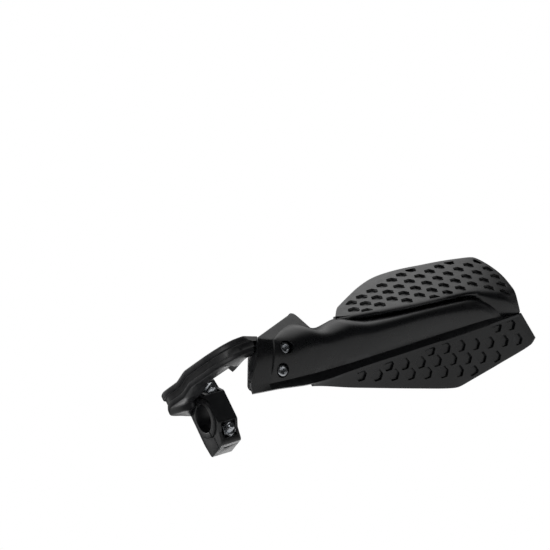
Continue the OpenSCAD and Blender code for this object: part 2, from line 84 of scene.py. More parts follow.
@dataclass(frozen=True)
class Curve:
    """A smooth curve through a few knots.

    Attributes:
        knots: Pairs of place and value, in rising order of place.
    """

    knots: tuple[tuple[float, float], ...]

    def at(self, x: float) -> float:
        """Value of the curve.

        Args:
            x: Place along the curve.

        Returns:
            The value at that place, held at both ends.
        """
        k = self.knots
        i = 0
        while i < len(k) - 2 and x >= k[i + 1][0]:
            i += 1
        h = k[i + 1][0] - k[i][0]
        u = min(max((x - k[i][0]) / h, 0.0), 1.0)
        return hermite(k[i][1], k[i + 1][1], h * self._slope(i), h * self._slope(i + 1), u)

    def line(self, x: float) -> float:
        """Value at a place on the straight line from the first knot to the last."""
        (x0, y0), (x1, y1) = self.knots[0], self.knots[-1]
        return y0 + (y1 - y0) * (x - x0) / (x1 - x0)

    def _slope(self, i: int) -> float:
        """Slope at a knot, taken between its neighbours."""
        a, b = max(i - 1, 0), min(i + 1, len(self.knots) - 1)
        return (self.knots[b][1] - self.knots[a][1]) / (self.knots[b][0] - self.knots[a][0])


def smooth_line(points: Sequence[Sequence[float]], steps: int) -> np.ndarray:
    """Rounds a list of points into a finer smooth line.

    Args:
        points: The points that the line passes through.
        steps: How many stretches each gap is split into.

    Returns:
        The finer line, one row a point.
    """
    p = np.array(points, float)
    out = []
    for i in range(len(p) - 1):
        before, after = p[max(i - 1, 0)], p[min(i + 2, len(p) - 1)]
        for k in range(steps):
            out.append(hermite(p[i], p[i + 1], (p[i + 1] - before) / 2, (after - p[i]) / 2, k / steps))
    out.append(p[-1])
    return np.array(out)


def unit(v: np.ndarray) -> np.ndarray:
    """One vector, or an array of them along the last axis, scaled to length one."""
    return v / np.maximum(np.linalg.norm(v, axis=-1, keepdims=True), 1e-12)


def linear(hex_colour: str) -> tuple[float, float, float, float]:
    """Turns an sRGB hex colour into linear light.

    Args:
        hex_colour: Colour such as "#1a1b1c".

    Returns:
        Red, green, blue and alpha.
    """
    rgb = [int(hex_colour[i : i + 2], 16) / 255 for i in (1, 3, 5)]
    rgb = [c / 12.92 if c <= 0.04045 else ((c + 0.055) / 1.055) ** 2.4 for c in rgb]
    return (rgb[0], rgb[1], rgb[2], 1.0)


def add_node(tree: Tree, kind: str, settings: dict | None = None, links: dict | None = None) -> Any:
    """Adds a node with its settings and links.

    Args:
        tree: The node tree.
        kind: Blender's name for the type of node.
        settings: Values by the name of a property, or by the name or number of an input.
        links: Output sockets by the name or number of the input that each feeds.

    Returns:
        The new node.
    """
    node = tree.nodes.new(kind)
    for key, value in (settings or {}).items():
        if isinstance(key, str) and hasattr(node, key):
            setattr(node, key, value)
        else:
            node.inputs[key].default_value = value
    for key, socket in (links or {}).items():
        tree.links.new(socket, node.inputs[key])
    return node


# Finishes


class Grain(Enum):
    """How a surface was made."""

    MOULDED = "moulded in a spark-eroded tool"
    TURNED = "turned and plated"
    PRESSED = "pressed"


@dataclass(frozen=True)
class Finish:
    """How a real material looks.

    Attributes:
        name: Common name of the material.
        colour: Main sRGB colour.
        second: Second sRGB colour, for its slow variation.
        roughness: Middle roughness.
        spread: How far roughness varies each way.
        metallic: 0 for plastic, 1 for metal.
        grain: How the surface was made.
        grain_mm: Size of the grain.
        bump_mm: Height of the grain.
        wear: How much edges lighten, 0 to 1.
    """

    name: str
    colour: str
    second: str
    roughness: float
    spread: float
    metallic: float
    grain: Grain
    grain_mm: float
    bump_mm: float
    wear: float = 0.0

    FLOW_MM = 42.0
    SMEAR_MM = 5.0
    SINK_MM = 0.05
    WORN = "#4a4c4f"

    def material(self) -> Material:
        """Builds the node material.

        Returns:
            The new material.
        """
        mat = bpy.data.materials.new(self.name)
        mat.use_nodes = True
        tree = mat.node_tree
        tree.nodes.clear()
        add = partial(add_node, tree)
        place = add("ShaderNodeTexCoord").outputs["Object"]
        in_mm = {"operation": "SCALE", "Scale": 1 / MM}
        where = add("ShaderNodeVectorMath", in_mm, {0: place}).outputs["Vector"]
        slow, smear, grain = (
            add("ShaderNodeTexNoise", {"Scale": 1 / size, "Detail": detail}, {"Vector": space}).outputs["Fac"]
            for size, detail, space in (
                (self.FLOW_MM, 3.0, where),
                (self.SMEAR_MM, 5.0, where),
                (self.grain_mm, 4.0, self._grain_space(tree, where)),
            )
        )
        uneven = {"From Min": 0.3, "From Max": 0.7}
        uneven |= {"To Min": self.roughness - self.spread, "To Max": self.roughness + self.spread}
        rough = add("ShaderNodeMapRange", uneven, {"Value": smear})
        sink = {"Strength": 0.4, "Distance": self.SINK_MM * MM}
        wave = add("ShaderNodeBump", sink, {"Height": slow})
        fine = {"Strength": 0.5, "Distance": self.bump_mm * MM}
        bump = add("ShaderNodeBump", fine, {"Height": grain, "Normal": wave.outputs["Normal"]})
        look = {"Base Color": self._colour(tree, slow, smear)}
        look |= {"Roughness": rough.outputs["Result"], "Normal": bump.outputs["Normal"]}
        shader = add("ShaderNodeBsdfPrincipled", {"Metallic": self.metallic}, look)
        add("ShaderNodeOutputMaterial", None, {"Surface": shader.outputs["BSDF"]})
        return mat

    def _grain_space(self, tree: Tree, where: Socket) -> Socket:
        """Stretches a turned piece's grain round its axis, which lies near Y on every fastener here.

        Args:
            tree: The material's node tree.
            where: Socket with the place in millimetres.

        Returns:
            The socket with the place for the grain.
        """
        if self.grain is not Grain.TURNED:
            return where
        stretch = {"operation": "MULTIPLY", 1: (0.25, 3.0, 0.25)}
        return add_node(tree, "ShaderNodeVectorMath", stretch, {0: where}).outputs["Vector"]

    def _colour(self, tree: Tree, slow: Socket, smear: Socket) -> Socket:
        """Mixes the two colours, and lightens worn edges.

        Args:
            tree: The material's node tree.
            slow: Socket with the slow variation.
            smear: Socket with the quicker variation.

        Returns:
            The socket with the colour.
        """
        add = partial(add_node, tree)
        blend = add("ShaderNodeMapRange", {"From Min": 0.35, "From Max": 0.65}, {"Value": slow})
        both = {"data_type": "RGBA", "A": linear(self.colour), "B": linear(self.second)}
        base = add("ShaderNodeMix", both, {"Factor": blend.outputs["Result"]}).outputs["Result"]
        if self.wear == 0:
            return base
        shape = add("ShaderNodeNewGeometry")
        proud = {"From Min": 0.53, "From Max": 0.63, "To Max": self.wear}
        edge = add("ShaderNodeMapRange", proud, {"Value": shape.outputs["Pointiness"]})
        patchy = {"From Min": 0.35, "From Max": 0.65, "To Min": 0.3}
        patch = add("ShaderNodeMapRange", patchy, {"Value": smear})
        on_both = {0: edge.outputs["Result"], 1: patch.outputs["Result"]}
        amount = add("ShaderNodeMath", {"operation": "MULTIPLY"}, on_both)
        worn = {"data_type": "RGBA", "B": linear(self.WORN)}
        return add("ShaderNodeMix", worn, {"Factor": amount.outputs[0], "A": base}).outputs["Result"]


# Black polypropylene, moulded: a satin skin whose fine spark grain spreads the light into soft fields.
# The grain is drawn at about 0.4 mm, coarser than the real 0.1 mm, so that it shows at all.
SHELL_PLASTIC = Finish(
    name="black_polypropylene_moulded",
    colour="#141517",
    second="#18191b",
    roughness=0.30,
    spread=0.04,
    metallic=0.0,
    grain=Grain.MOULDED,
    grain_mm=0.4,
    bump_mm=0.016,
    wear=0.3,
)
# Black glass-filled nylon, moulded: a little greyer and duller than the shell, because of the glass in it.
BRACKET_PLASTIC = Finish(
    name="black_glass_filled_nylon_moulded",
    colour="#1a1b1d",
    second="#1f2022",
    roughness=0.36,
    spread=0.05,
    metallic=0.0,
    grain=Grain.MOULDED,
    grain_mm=0.4,
    bump_mm=0.014,
    wear=0.25,
)
# Steel, turned and zinc plated: bright, with fine rings round the axis that break up the reflections.
ZINC_STEEL = Finish(
    name="steel_turned_zinc_plated",
    colour="#c9ccd0",
    second="#b4b8bd",
    roughness=0.22,
    spread=0.06,
    metallic=1.0,
    grain=Grain.TURNED,
    grain_mm=0.35,
    bump_mm=0.006,
)
# Matt white card, pressed: pale and even, so that only the part's soft shadow shows on it.
FLOOR_CARD = Finish(
    name="matt_white_card",
    colour="#f1f1f0",
    second="#f6f6f6",
    roughness=0.85,
    spread=0.03,
    metallic=0.0,
    grain=Grain.PRESSED,
    grain_mm=1.2,
    bump_mm=0.01,
)


# Mesh makers


def make_object(name: str, verts: np.ndarray, faces: Sequence[Sequence[int]], mat: Material) -> Piece:
    """Makes a mesh object from points in millimetres.

    Args:
        name: Name of the object.
        verts: Points in millimetres.
        faces: Point numbers of each face.
        mat: Material of all its faces.

    Returns:
        The new object, linked to the scene.
    """
    mesh = bpy.data.meshes.new(name)
    points = [tuple(float(c) * MM for c in v) for v in verts]
    mesh.from_pydata(points, [], [tuple(int(i) for i in f) for f in faces])
    mesh.materials.append(mat)
    mesh.update()
    obj = bpy.data.objects.new(name, mesh)
    bpy.context.scene.collection.objects.link(obj)
    return obj


def settle(obj: Piece) -> Piece:
    """Turns an object's modifiers into plain mesh.

    Args:
        obj: Object with live modifiers.

    Returns:
        The same object, with a plain mesh and no modifier.
    """
    graph = bpy.context.evaluated_depsgraph_get()
    mesh = bpy.data.meshes.new_from_object(obj.evaluated_get(graph), depsgraph=graph)
    obj.modifiers.clear()
    old = obj.data
    obj.data = mesh
    bpy.data.meshes.remove(old)
    return obj


def shade(obj: Piece, angle_deg: float) -> None:
    """Shades an object smooth, with sharp edges above an angle.

    Args:
        obj: The object.
        angle_deg: Angle from which an edge stays sharp.
    """
    bm = bmesh.new()
    bm.from_mesh(obj.data)
    limit = math.radians(angle_deg)
    for f in bm.faces:
        f.smooth = True
    for e in bm.edges:
        e.smooth = len(e.link_faces) == 2 and e.calc_face_angle(3.14) < limit
    bm.to_mesh(obj.data)
    bm.free()


def soften(obj: Piece, width_mm: float, segments: int = 3, angle_deg: float = 35.0) -> None:
    """Rounds an object's sharp edges, then keeps the result as plain mesh.

    Args:
        obj: The object.
        width_mm: Width of the rounding.
        segments: Steps across it.
        angle_deg: Edges sharper than this are rounded.
    """
    mod = obj.modifiers.new("round_edges", "BEVEL")
    mod.width = width_mm * MM
    mod.segments = segments
    mod.limit_method = "ANGLE"
    mod.angle_limit = math.radians(angle_deg)
    mod.miter_outer = "MITER_ARC"
    settle(obj)


def join(name: str, parts: Sequence[Piece]) -> Piece:
    """Joins objects into one.

    Args:
        name: Name of the joined object.
        parts: Objects with plain meshes at the origin.

    Returns:
        The joined object.
    """
    bm = bmesh.new()
    mats: list[Material] = []
    for p in parts:
        start = len(bm.faces)
        bm.from_mesh(p.data)
        bm.faces.ensure_lookup_table()
        slot_of = []
        for m in p.data.materials:
            if m not in mats:
                mats.append(m)
            slot_of.append(mats.index(m))
        for f in bm.faces[start:]:
            f.material_index = slot_of[f.material_index] if slot_of else 0
    mesh = bpy.data.meshes.new(name)
    bm.to_mesh(mesh)
    bm.free()
    for m in mats:
        mesh.materials.append(m)
    for p in parts:
        old = p.data
        bpy.data.objects.remove(p)
        bpy.data.meshes.remove(old)
    obj = bpy.data.objects.new(name, mesh)
    bpy.context.scene.collection.objects.link(obj)
    return obj


# Frames of a prism whose outline is drawn as seen from the front, and from the side
FRONT_VIEW = Matrix(((1, 0, 0, 0), (0, 0, -1, 0), (0, 1, 0, 0), (0, 0, 0, 1)))
SIDE_VIEW = Matrix(((0, 0, 1, 0), (1, 0, 0, 0), (0, 1, 0, 0), (0, 0, 0, 1)))


def fillet(corners: Sequence[Sequence[float]], steps: int = 6) -> np.ndarray:
    """Rounds the corners of an outline.

    Args:
        corners: Each corner with its radius.
        steps: Stretches across each rounding.

    Returns:
        The rounded outline's points.
    """
    out = []
    for i, (x, y, r) in enumerate(corners):
        c = np.array([x, y], float)
        if r == 0:
            out.append(c)
            continue
        u = unit(np.array(corners[i - 1][:2], float) - c)
        w = unit(np.array(corners[(i + 1) % len(corners)][:2], float) - c)
        half = math.acos(float(np.dot(u, w))) / 2
        o = c + unit(u + w) * r / math.sin(half)
        a, b = c + u * r / math.tan(half) - o, c + w * r / math.tan(half) - o
        out += [o + unit(a * (1 - k / steps) + b * k / steps) * r for k in range(steps + 1)]
    return np.array(out)


def outward(obj: Piece) -> Piece:
    """Turns a closed mesh's faces outwards.

    Args:
        obj: The object.

    Returns:
        The same object.
    """
    bm = bmesh.new()
    bm.from_mesh(obj.data)
    bmesh.ops.recalc_face_normals(bm, faces=bm.faces)
    bm.to_mesh(obj.data)
    bm.free()
    return obj


def loft_faces(rings: int, n: int, closed: bool = False) -> list[tuple[int, ...]]:
    """Faces of a loft through rings of points.

    Args:
        rings: Number of rings.
        n: Points in each.
        closed: True where the last ring meets the first, instead of a cap at each end.

    Returns:
        Point numbers of each face.
    """
    pairs = [(k * n, (k + 1) % rings * n) for k in range(rings if closed else rings - 1)]
    faces = [(a + i, a + (i + 1) % n, b + (i + 1) % n, b + i) for a, b in pairs for i in range(n)]
    if closed:
        return faces
    return faces + [tuple(range(n - 1, -1, -1)), tuple(range((rings - 1) * n, rings * n))]


def prism(name: str, outline: np.ndarray, low: float, high: float, at: Matrix, mat: Material) -> Piece:
    """Makes a solid with one outline all along.

    Args:
        name: Name of the object.
        outline: Points of the outline, in millimetres.
        low: Where it starts along its axis.
        high: Where it ends.
        at: Frame that turns it into place.
        mat: Its material.

    Returns:
        The new object.
    """
    verts = [tuple(at @ Vector((float(p[0]), float(p[1]), z))) for z in (low, high) for p in outline]
    return outward(make_object(name, np.array(verts), loft_faces(2, len(outline)), mat))


def circle(radius: float, steps: int = 64) -> np.ndarray:
    """Points of a circle, or of a regular polygon with that many steps."""
    turns = np.arange(steps) * 2 * math.pi / steps
    return radius * np.stack([np.cos(turns), np.sin(turns)], axis=1)


def carve(target: Piece, tools: Sequence[Piece]) -> Piece:
    """Cuts tools out of a solid and drops them.

    Args:
        target: The solid.
        tools: The shapes to cut out.

    Returns:
        The same solid, cut.
    """
    for t in tools:
        mod = target.modifiers.new("cut", "BOOLEAN")
        mod.operation = "DIFFERENCE"
        mod.solver = "EXACT"
        mod.object = t
    settle(target)
    for t in tools:
        bpy.data.objects.remove(t)
    return target


@dataclass
class Sheet:
    """A curved sheet with a front, a back and rims.

    Attributes:
        name: Name of the piece.
        front: Grid of front points in millimetres, indexed along, across, xyz.
        thickness: Wall thickness in millimetres.
        rounding: Radius of its rounded rims.
        push: Way from each front point to its back point, where the wall isn't even.
    """

    name: str
    front: np.ndarray
    thickness: float = 3.0
    rounding: float = 0.7
    push: np.ndarray | None = None

    def back(self) -> np.ndarray:
        """Points behind the front, mitred where it turns.

        Returns:
            Grid of back points.
        """
        g = self.front
        if self.push is not None:
            return g + self.push
        along = np.empty_like(g)
        along[1:-1] = g[2:] - g[:-2]
        along[0], along[-1] = g[1] - g[0], g[-1] - g[-2]
        step = g[:, 1:] - g[:, :-1]
        before = np.concatenate([step[:, :1], step], axis=1)
        after = np.concatenate([step, step[:, -1:]], axis=1)
        n1, n2 = unit(np.cross(along, before)), unit(np.cross(along, after))
        dot = np.sum(n1 * n2, axis=-1, keepdims=True)
        return g + self.thickness * (n1 + n2) / np.maximum(1 + dot, 0.5)

    def build(self, mat: Material) -> Piece:
        """Makes the sheet's mesh, with rounded rims.

        Args:
            mat: Its material.

        Returns:
            The new object.
        """
        g = self.front
        rows, cols = g.shape[0], g.shape[1]
        verts = np.concatenate([g.reshape(-1, 3), self.back().reshape(-1, 3)])
        b = rows * cols
        faces = []
        for i in range(rows - 1):
            for j in range(cols - 1):
                a = i * cols + j
                faces.append((a, a + 1, a + cols + 1, a + cols))
                faces.append((a + b, a + cols + b, a + cols + 1 + b, a + 1 + b))
        for j in range(cols - 1):
            a, z = j, (rows - 1) * cols + j
            faces.append((a + 1, a, a + b, a + 1 + b))
            faces.append((z, z + 1, z + 1 + b, z + b))
        for i in range(rows - 1):
            a, z = i * cols, i * cols + cols - 1
            faces.append((a, a + cols, a + cols + b, a + b))
            faces.append((z + cols, z, z + b, z + cols + b))
        obj = make_object(self.name, verts, faces, mat)
        if self.rounding > 0:
            soften(obj, self.rounding)
        return obj


@dataclass
class HexField:
    """A field of hexagon recesses, made and cut by a node tree.

    Attributes:
        name: Name of the field.
        places: Centre, outward normal and length direction of each recess, in millimetres.
        loop: Outline that the recesses stay inside, as places and heights in millimetres.
        floor: Width across the corners of a recess's floor.
        mouth: Width across the corners where its walls end.
        depth: Depth of a recess.
        lip: Width of the chamfer round its mouth.
        corner: Radius of its corners.
    """

    name: str
    places: list[Place]
    loop: np.ndarray
    floor: float = 9.1
    mouth: float = 10.0
    depth: float = 1.7
    lip: float = 0.22
    corner: float = 0.55

    # How far forward the margin's prism starts and ends
    REACH_MM = (30.0, 170.0)
    WELD_MM = 0.002
    # The flare carries on past the surface, to this many widths of the lip
    PAST = 1.6

    def tree(self, mat: Material) -> Tree:
        """Builds the tree: one drafted cutter, repeated on the points, kept inside the margin, then cut.

        Args:
            mat: Material set on the result.

        Returns:
            The node tree.
        """
        tree = bpy.data.node_groups.new(self.name, "GeometryNodeTree")
        sockets = [("Geometry", "INPUT", "Geometry"), ("Geometry", "OUTPUT", "Geometry")]
        sockets += [(word, "INPUT", "Object") for word in ("Recess points", "Margin")]
        lengths = ("Floor width", "Mouth width", "Depth", "Lip", "Corner radius")
        sockets += [(word, "INPUT", "Float") for word in lengths]
        for word, way, kind in sockets:
            tree.interface.new_socket(word, in_out=way, socket_type="NodeSocket" + kind)
        add = partial(add_node, tree)
        start = add("NodeGroupInput").outputs
        spots = add("GeometryNodeObjectInfo", None, {"Object": start["Recess points"]}).outputs["Geometry"]
        named = {"data_type": "FLOAT_VECTOR", "Name": "turn"}
        stored = add("GeometryNodeInputNamedAttribute", named).outputs["Attribute"]
        turn = add("FunctionNodeEulerToRotation", None, {"Euler": stored}).outputs["Rotation"]
        each = {"Points": spots, "Instance": self._cutter(tree, start), "Rotation": turn}
        copies = add("GeometryNodeInstanceOnPoints", None, each).outputs["Instances"]
        solid = add("GeometryNodeRealizeInstances", None, {"Geometry": copies}).outputs["Geometry"]
        margin = add("GeometryNodeObjectInfo", None, {"Object": start["Margin"]}).outputs["Geometry"]
        within = {"operation": "INTERSECT", "solver": "EXACT", "Self Intersection": True}
        kept = add("GeometryNodeMeshBoolean", within, {"Mesh 2": solid})
        tree.links.new(margin, kept.inputs["Mesh 2"])
        sheet = {"Mesh 1": start["Geometry"], "Mesh 2": kept.outputs["Mesh"]}
        cut = add("GeometryNodeMeshBoolean", {"operation": "DIFFERENCE", "solver": "EXACT"}, sheet)
        done = {"Geometry": cut.outputs["Mesh"]}
        real = add("GeometryNodeRealizeInstances", None, done).outputs["Geometry"]
        paint = add("GeometryNodeSetMaterial", {"Material": mat}, {"Geometry": real})
        add("NodeGroupOutput", None, {"Geometry": paint.outputs["Geometry"]})
        return tree

    def _cutter(self, tree: Tree, start: Any) -> Socket:
        """Builds the nodes of one cutter: a hexagon floor, drafted walls, and a flare at the mouth.

        Args:
            tree: The node tree.
            start: Outputs of its group input.

        Returns:
            The socket with the cutter.
        """
        add = partial(add_node, tree)
        half = add("ShaderNodeMath", {"operation": "MULTIPLY", 1: 0.5}, {0: start["Floor width"]}).outputs[0]
        ring = add("GeometryNodeCurvePrimitiveCircle", {"Resolution": 6}, {"Radius": half}).outputs["Curve"]
        soft = {"mode": "POLY", "Count": 3, "Limit Radius": True}
        round_ring = add("GeometryNodeFilletCurve", soft, {"Curve": ring, "Radius": start["Corner radius"]})
        face = add("GeometryNodeFillCurve", {"mode": "NGONS"}, {"Curve": round_ring.outputs["Curve"]})
        down = add("ShaderNodeMath", {"operation": "MULTIPLY", 1: -1.0}, {0: start["Depth"]}).outputs[0]
        sunk = add("ShaderNodeCombineXYZ", None, {"Z": down}).outputs["Vector"]
        low = add("GeometryNodeTransform", None, {"Geometry": face.outputs["Mesh"], "Translation": sunk})
        wall = add("ShaderNodeMath", {"operation": "SUBTRACT"}, {0: start["Depth"], 1: start["Lip"]})
        widths = {0: start["Mouth width"], 1: start["Floor width"]}
        draft = add("ShaderNodeMath", {"operation": "DIVIDE"}, widths)
        over = add("ShaderNodeMath", {"operation": "MULTIPLY", 1: self.PAST}, {0: start["Lip"]})
        spread = {"operation": "MULTIPLY_ADD", 1: 2 * self.PAST}
        widest = add("ShaderNodeMath", spread, {0: start["Lip"], 2: start["Mouth width"]}).outputs[0]
        flare = add("ShaderNodeMath", {"operation": "DIVIDE"}, {0: widest, 1: start["Mouth width"]})
        shape, top = low.outputs["Geometry"], {}
        for rise, growth in ((wall, draft), (over, flare)):
            up = {"Mesh": shape, "Offset Scale": rise.outputs[0]} | top
            raised = add("GeometryNodeExtrudeMesh", {"mode": "FACES", "Individual": False}, up).outputs
            top = {"Selection": raised["Top"]}
            wide = {"Geometry": raised["Mesh"], "Scale": growth.outputs[0]} | top
            shape = add("GeometryNodeScaleElements", {"domain": "FACE"}, wide).outputs["Geometry"]
        under = add("GeometryNodeFlipFaces", None, {"Mesh": low.outputs["Geometry"]})
        both = add("GeometryNodeJoinGeometry", None, {"Geometry": shape})
        tree.links.new(under.outputs["Mesh"], both.inputs["Geometry"])
        close = {"Distance": self.WELD_MM * MM}
        return add("GeometryNodeMergeByDistance", close, {"Geometry": both.outputs["Geometry"]}).outputs[0]

    def points(self) -> Piece:
        """Makes one point for each recess, with its turn stored on it.

        Returns:
            The object of loose points.
        """
        mesh = bpy.data.meshes.new(self.name + "_points")
        mesh.from_pydata([tuple(p[0] * MM) for p in self.places], [], [])
        turn = mesh.attributes.new("turn", "FLOAT_VECTOR", "POINT")
        for i, (_, n, t) in enumerate(self.places):
            turn.data[i].vector = tuple(Matrix((t, np.cross(n, t), n)).transposed().to_euler())
        obj = bpy.data.objects.new(self.name + "_points", mesh)
        bpy.context.scene.collection.objects.link(obj)
        return obj

    def cut(self, target: Piece, mat: Material) -> None:
        """Cuts the field into a sheet.

        Args:
            target: The sheet's object.
            mat: Material set on the result.
        """
        tree = self.tree(mat)
        margin = prism(self.name + "_margin", self.loop, *self.REACH_MM, FRONT_VIEW, mat)
        points = self.points()
        values = {
            "Recess points": points,
            "Margin": margin,
            "Floor width": self.floor * MM,
            "Mouth width": self.mouth * MM,
            "Depth": self.depth * MM,
            "Lip": self.lip * MM,
            "Corner radius": self.corner * MM,
        }
        mod = target.modifiers.new(self.name, "NODES")
        mod.node_group = tree
        for socket in tree.interface.items_tree:
            if socket.in_out == "INPUT" and socket.name in values:
                mod[socket.identifier] = values[socket.name]
        settle(target)
        for o in (points, margin):
            bpy.data.objects.remove(o)


# The shell


@dataclass
class ShellForm:
    """The shell's surfaces in millimetres, in the part's frame.

    Attributes:
        thickness: Wall thickness.
        bulge: Greatest height of the spar's bulge.
        step: Height of the spar's step at the pad.
        ledge: Height of the ledge under the spar.
        top_z: Height of the spar's upper crease, by place along the handlebar.
        top_y: Where that crease lies fore and aft.
        low_z: Height of the spar's lower crease.
        low_y: Where that crease lies fore and aft.
        rise: Share of the bulge's height.
        ridge_y: Where the ridge under the spar lies fore and aft.
        ridge_drop: Share of the ledge's height.
        panel_z: Height of the lower panel's bottom edge.
        panel_y: Where that edge lies fore and aft.
        ribs: For each rib of the spar: where it starts above, where it ends below, 1 where the
            spar is raised and 0 on the pad, and where it meets the ridge.
        panel_ribs: For each rib of the lower panel: where it starts above and ends below.
        outer: Place and height of the wing's upper edge.
        inner: Place and height of its lower edge.
        wing_first: Place and height of the recess that the wing's field is counted from.
        wing_down: Step to the next recess down.
        wing_along: Step to the next recess outboard.
        wing_fan: How much each of those steps grows with the other.
        panel_first: Place and height of the recess that the panel's field is counted from.
        panel_pitch: Step along a row, and down to the next.
        panel_shift: Share of a step that each row starts further on.
        panel_lean: Slope of the rows, and how much it grows a row, about the place panel_pivot.
    """

    thickness: float = 3.0
    bulge: float = 15.0
    step: float = 1.5
    ledge: float = 5.8
    top_z: Curve = Curve((
        (4.5, 13), (10, 10.6), (16.5, 9.6), (22, 12.4), (27.3, 15.5), (37, 20), (43, 22), (48, 21.6),
        (52, 18), (56, 15.2), (62, 14), (70, 15), (78, 16), (86, 13.4), (95, 9.6), (113, 6.2),
        (141, 3.7), (165, 2.6), (190, 0.6), (197, -2.3),
    ))
    top_y: Curve = Curve((
        (4.5, -96), (10, -95.9), (16.5, -94.8), (22, -92.3), (27.3, -89.8), (37, -85.8), (43, -83.6),
        (48, -82.6), (52, -83.3), (56, -83.8), (62, -84.6), (70, -86.2), (78, -87.6), (86, -87.6),
        (95, -89), (113, -93), (141, -98), (165, -100), (197, -102.3),
    ))
    low_z: Curve = Curve(((-11, -17.8), (5, -19), (56, -21), (80, -22), (219, -22.6)))
    low_y: Curve = Curve((
        (-11, -84), (5, -83.6), (30, -83.6), (55, -85), (80, -89), (118, -93), (165, -98), (203, -101),
        (219, -99),
    ))
    rise: Curve = Curve((
        (4, 0.36), (13, 0.4), (26, 0.65), (35, 0.86), (46, 1.03), (54, 1.03), (62, 1), (110, 0.87),
        (165, 0.63), (206, 0.33),
    ))
    ridge_y: Curve = Curve((
        (-11, -82), (5, -83), (30, -83.7), (55, -85.3), (80, -89.3), (118, -93.3), (165, -98.3),
        (203, -101.3), (232, -103), (236, -103.4),
    ))
    ridge_drop: Curve = Curve((
        (-11, 0.72), (10, 0.84), (22, 1.04), (34, 1.24), (52, 1.26), (66, 1.1), (80, 1.02), (100, 1),
        (180, 0.9), (232, 0.6), (236, 0.52),
    ))
    panel_z: Curve = Curve((
        (20, -26.1), (28, -26.9), (36.5, -28.1), (45, -29.7), (53.5, -31.8), (69.7, -36.5),
        (86.7, -40.9), (99.5, -44.3), (128.8, -52.6), (145.6, -57.5), (157.6, -60.6), (163.5, -61.1),
        (176.5, -59.2), (207.5, -54.6), (240, -49.2), (247.5, -45),
    ))
    panel_y: Curve = Curve((
        (20, -81.2), (38, -80), (60, -78), (100, -76), (140, -76.5), (164, -78), (187, -81), (215, -86),
        (247.5, -91.5),
    ))
    ribs: tuple = (
        (4.5, -11, 0, -11), (10, -4, 0, -4), (16, 3.6, 0, 3.6), (16.9, 4.6, 1, 4.6), (22, 11, 1, 11),
        (29, 20, 1, 20), (37, 30, 1, 30), (44, 39, 1, 39), (50, 46, 1, 46), (56, 53, 1, 53),
        (63, 61, 1, 61), (72, 71, 1, 71), (84, 84, 1, 84), (98, 98, 1, 98), (112, 113, 1, 113),
        (126, 129, 1, 129), (140, 145, 1, 145), (154, 161, 1, 161), (168, 178, 1, 178),
        (180, 193, 1, 194), (190, 207, 1, 211), (197, 219, 1, 233),
    )
    panel_ribs: tuple = (
        (38, 38), (50, 50), (62, 62), (75, 75), (88, 88), (101, 101), (114, 114), (128, 128),
        (142, 142), (151, 152), (157, 158), (162, 163.5), (168, 170), (179, 182), (191, 195),
        (203, 208), (214, 221), (224, 234), (231, 242), (236, 247.5),
    )
    outer: tuple = (
        (80.8, 17.7), (89.5, 25.6), (95.1, 28.9), (112, 37.3), (126.4, 43.9), (142.5, 49.5),
        (156, 51.6), (173.7, 51.4), (191.8, 49.3), (211.3, 47.6), (230.7, 45.2), (242.4, 43.3),
        (245.8, 39.5), (247, 27.8), (245.6, 13.8), (240.9, -0.2), (236.2, -12), (235.2, -18.5),
        (236.6, -24.2),
    )
    inner: tuple = (
        (77.5, 12), (84, 8.6), (90, 6.6), (105, 3.2), (120, 0.6), (138, -2.0), (150, -2.9), (165, -3.4),
        (180, -3.6), (190.5, -3.7), (196, -4.2), (200.5, -5), (203, -5.8), (206, -6.8), (209.6, -8.4),
        (213, -11), (217.3, -14.8), (225, -20.6), (233, -25.9),
    )
    wing_first: tuple[float, float] = (116.22, 29.97)
    wing_down: tuple[float, float] = (7.3, -6.9)
    wing_along: tuple[float, float] = (12.74, 3.21)
    wing_fan: tuple[float, float] = (0.63, -0.38)
    panel_first: tuple[float, float] = (165, -32.4)
    panel_pitch: tuple[float, float] = (14.3, 7.7)
    panel_shift: float = 0.69
    panel_lean: tuple[float, float] = (0.05, 0.042)
    panel_pivot: float = 150

    # The wing: middle, sweep, lean, bow, twist and dish, and the toe at its outboard end
    WING_MIDDLE = (151.5, -109.75)
    WING_SWEEP = 0.0156
    WING_LEAN = math.tan(math.radians(33.7))
    WING_BOW = 1142
    WING_TWIST = 7.12 / 3000
    WING_DISH = 426
    TOE_START = 190
    TOE_RUN = 20
    TOE_TOP = -5
    TOE = 0.034
    # The spar's arch is fuller towards its upper crease
    ARCH_LEAN = 0.92
    ARCH_FULL = 0.85
    LEDGE_END = 219
    RIDGE_END = 236

    def wing_recess(self, i: int, j: int) -> np.ndarray:
        """Where one of the wing's recesses lies.

        Args:
            i: How many down from the one that the field is counted from.
            j: How many outboard of that one.

        Returns:
            Its place and height.
        """
        parts = (self.wing_first, self.wing_down, self.wing_along, self.wing_fan)
        first, down, along, fan = (np.array(part) for part in parts)
        return first + down * i + along * j + fan * i * j

    def panel_recess(self, row: int, k: int) -> np.ndarray:
        """Where one of the panel's recesses lies.

        Args:
            row: Its row, from 1, the highest, to 4.
            k: How many outboard of the one that its row is counted from.

        Returns:
            Its place and height.
        """
        x = self.panel_first[0] + self.panel_pitch[0] * (k + (4 - row) * self.panel_shift)
        lean = self.panel_lean[0] + self.panel_lean[1] * row
        z = self.panel_first[1] - self.panel_pitch[1] * (row - 2) - lean * (x - self.panel_pivot)
        return np.array([x, z])

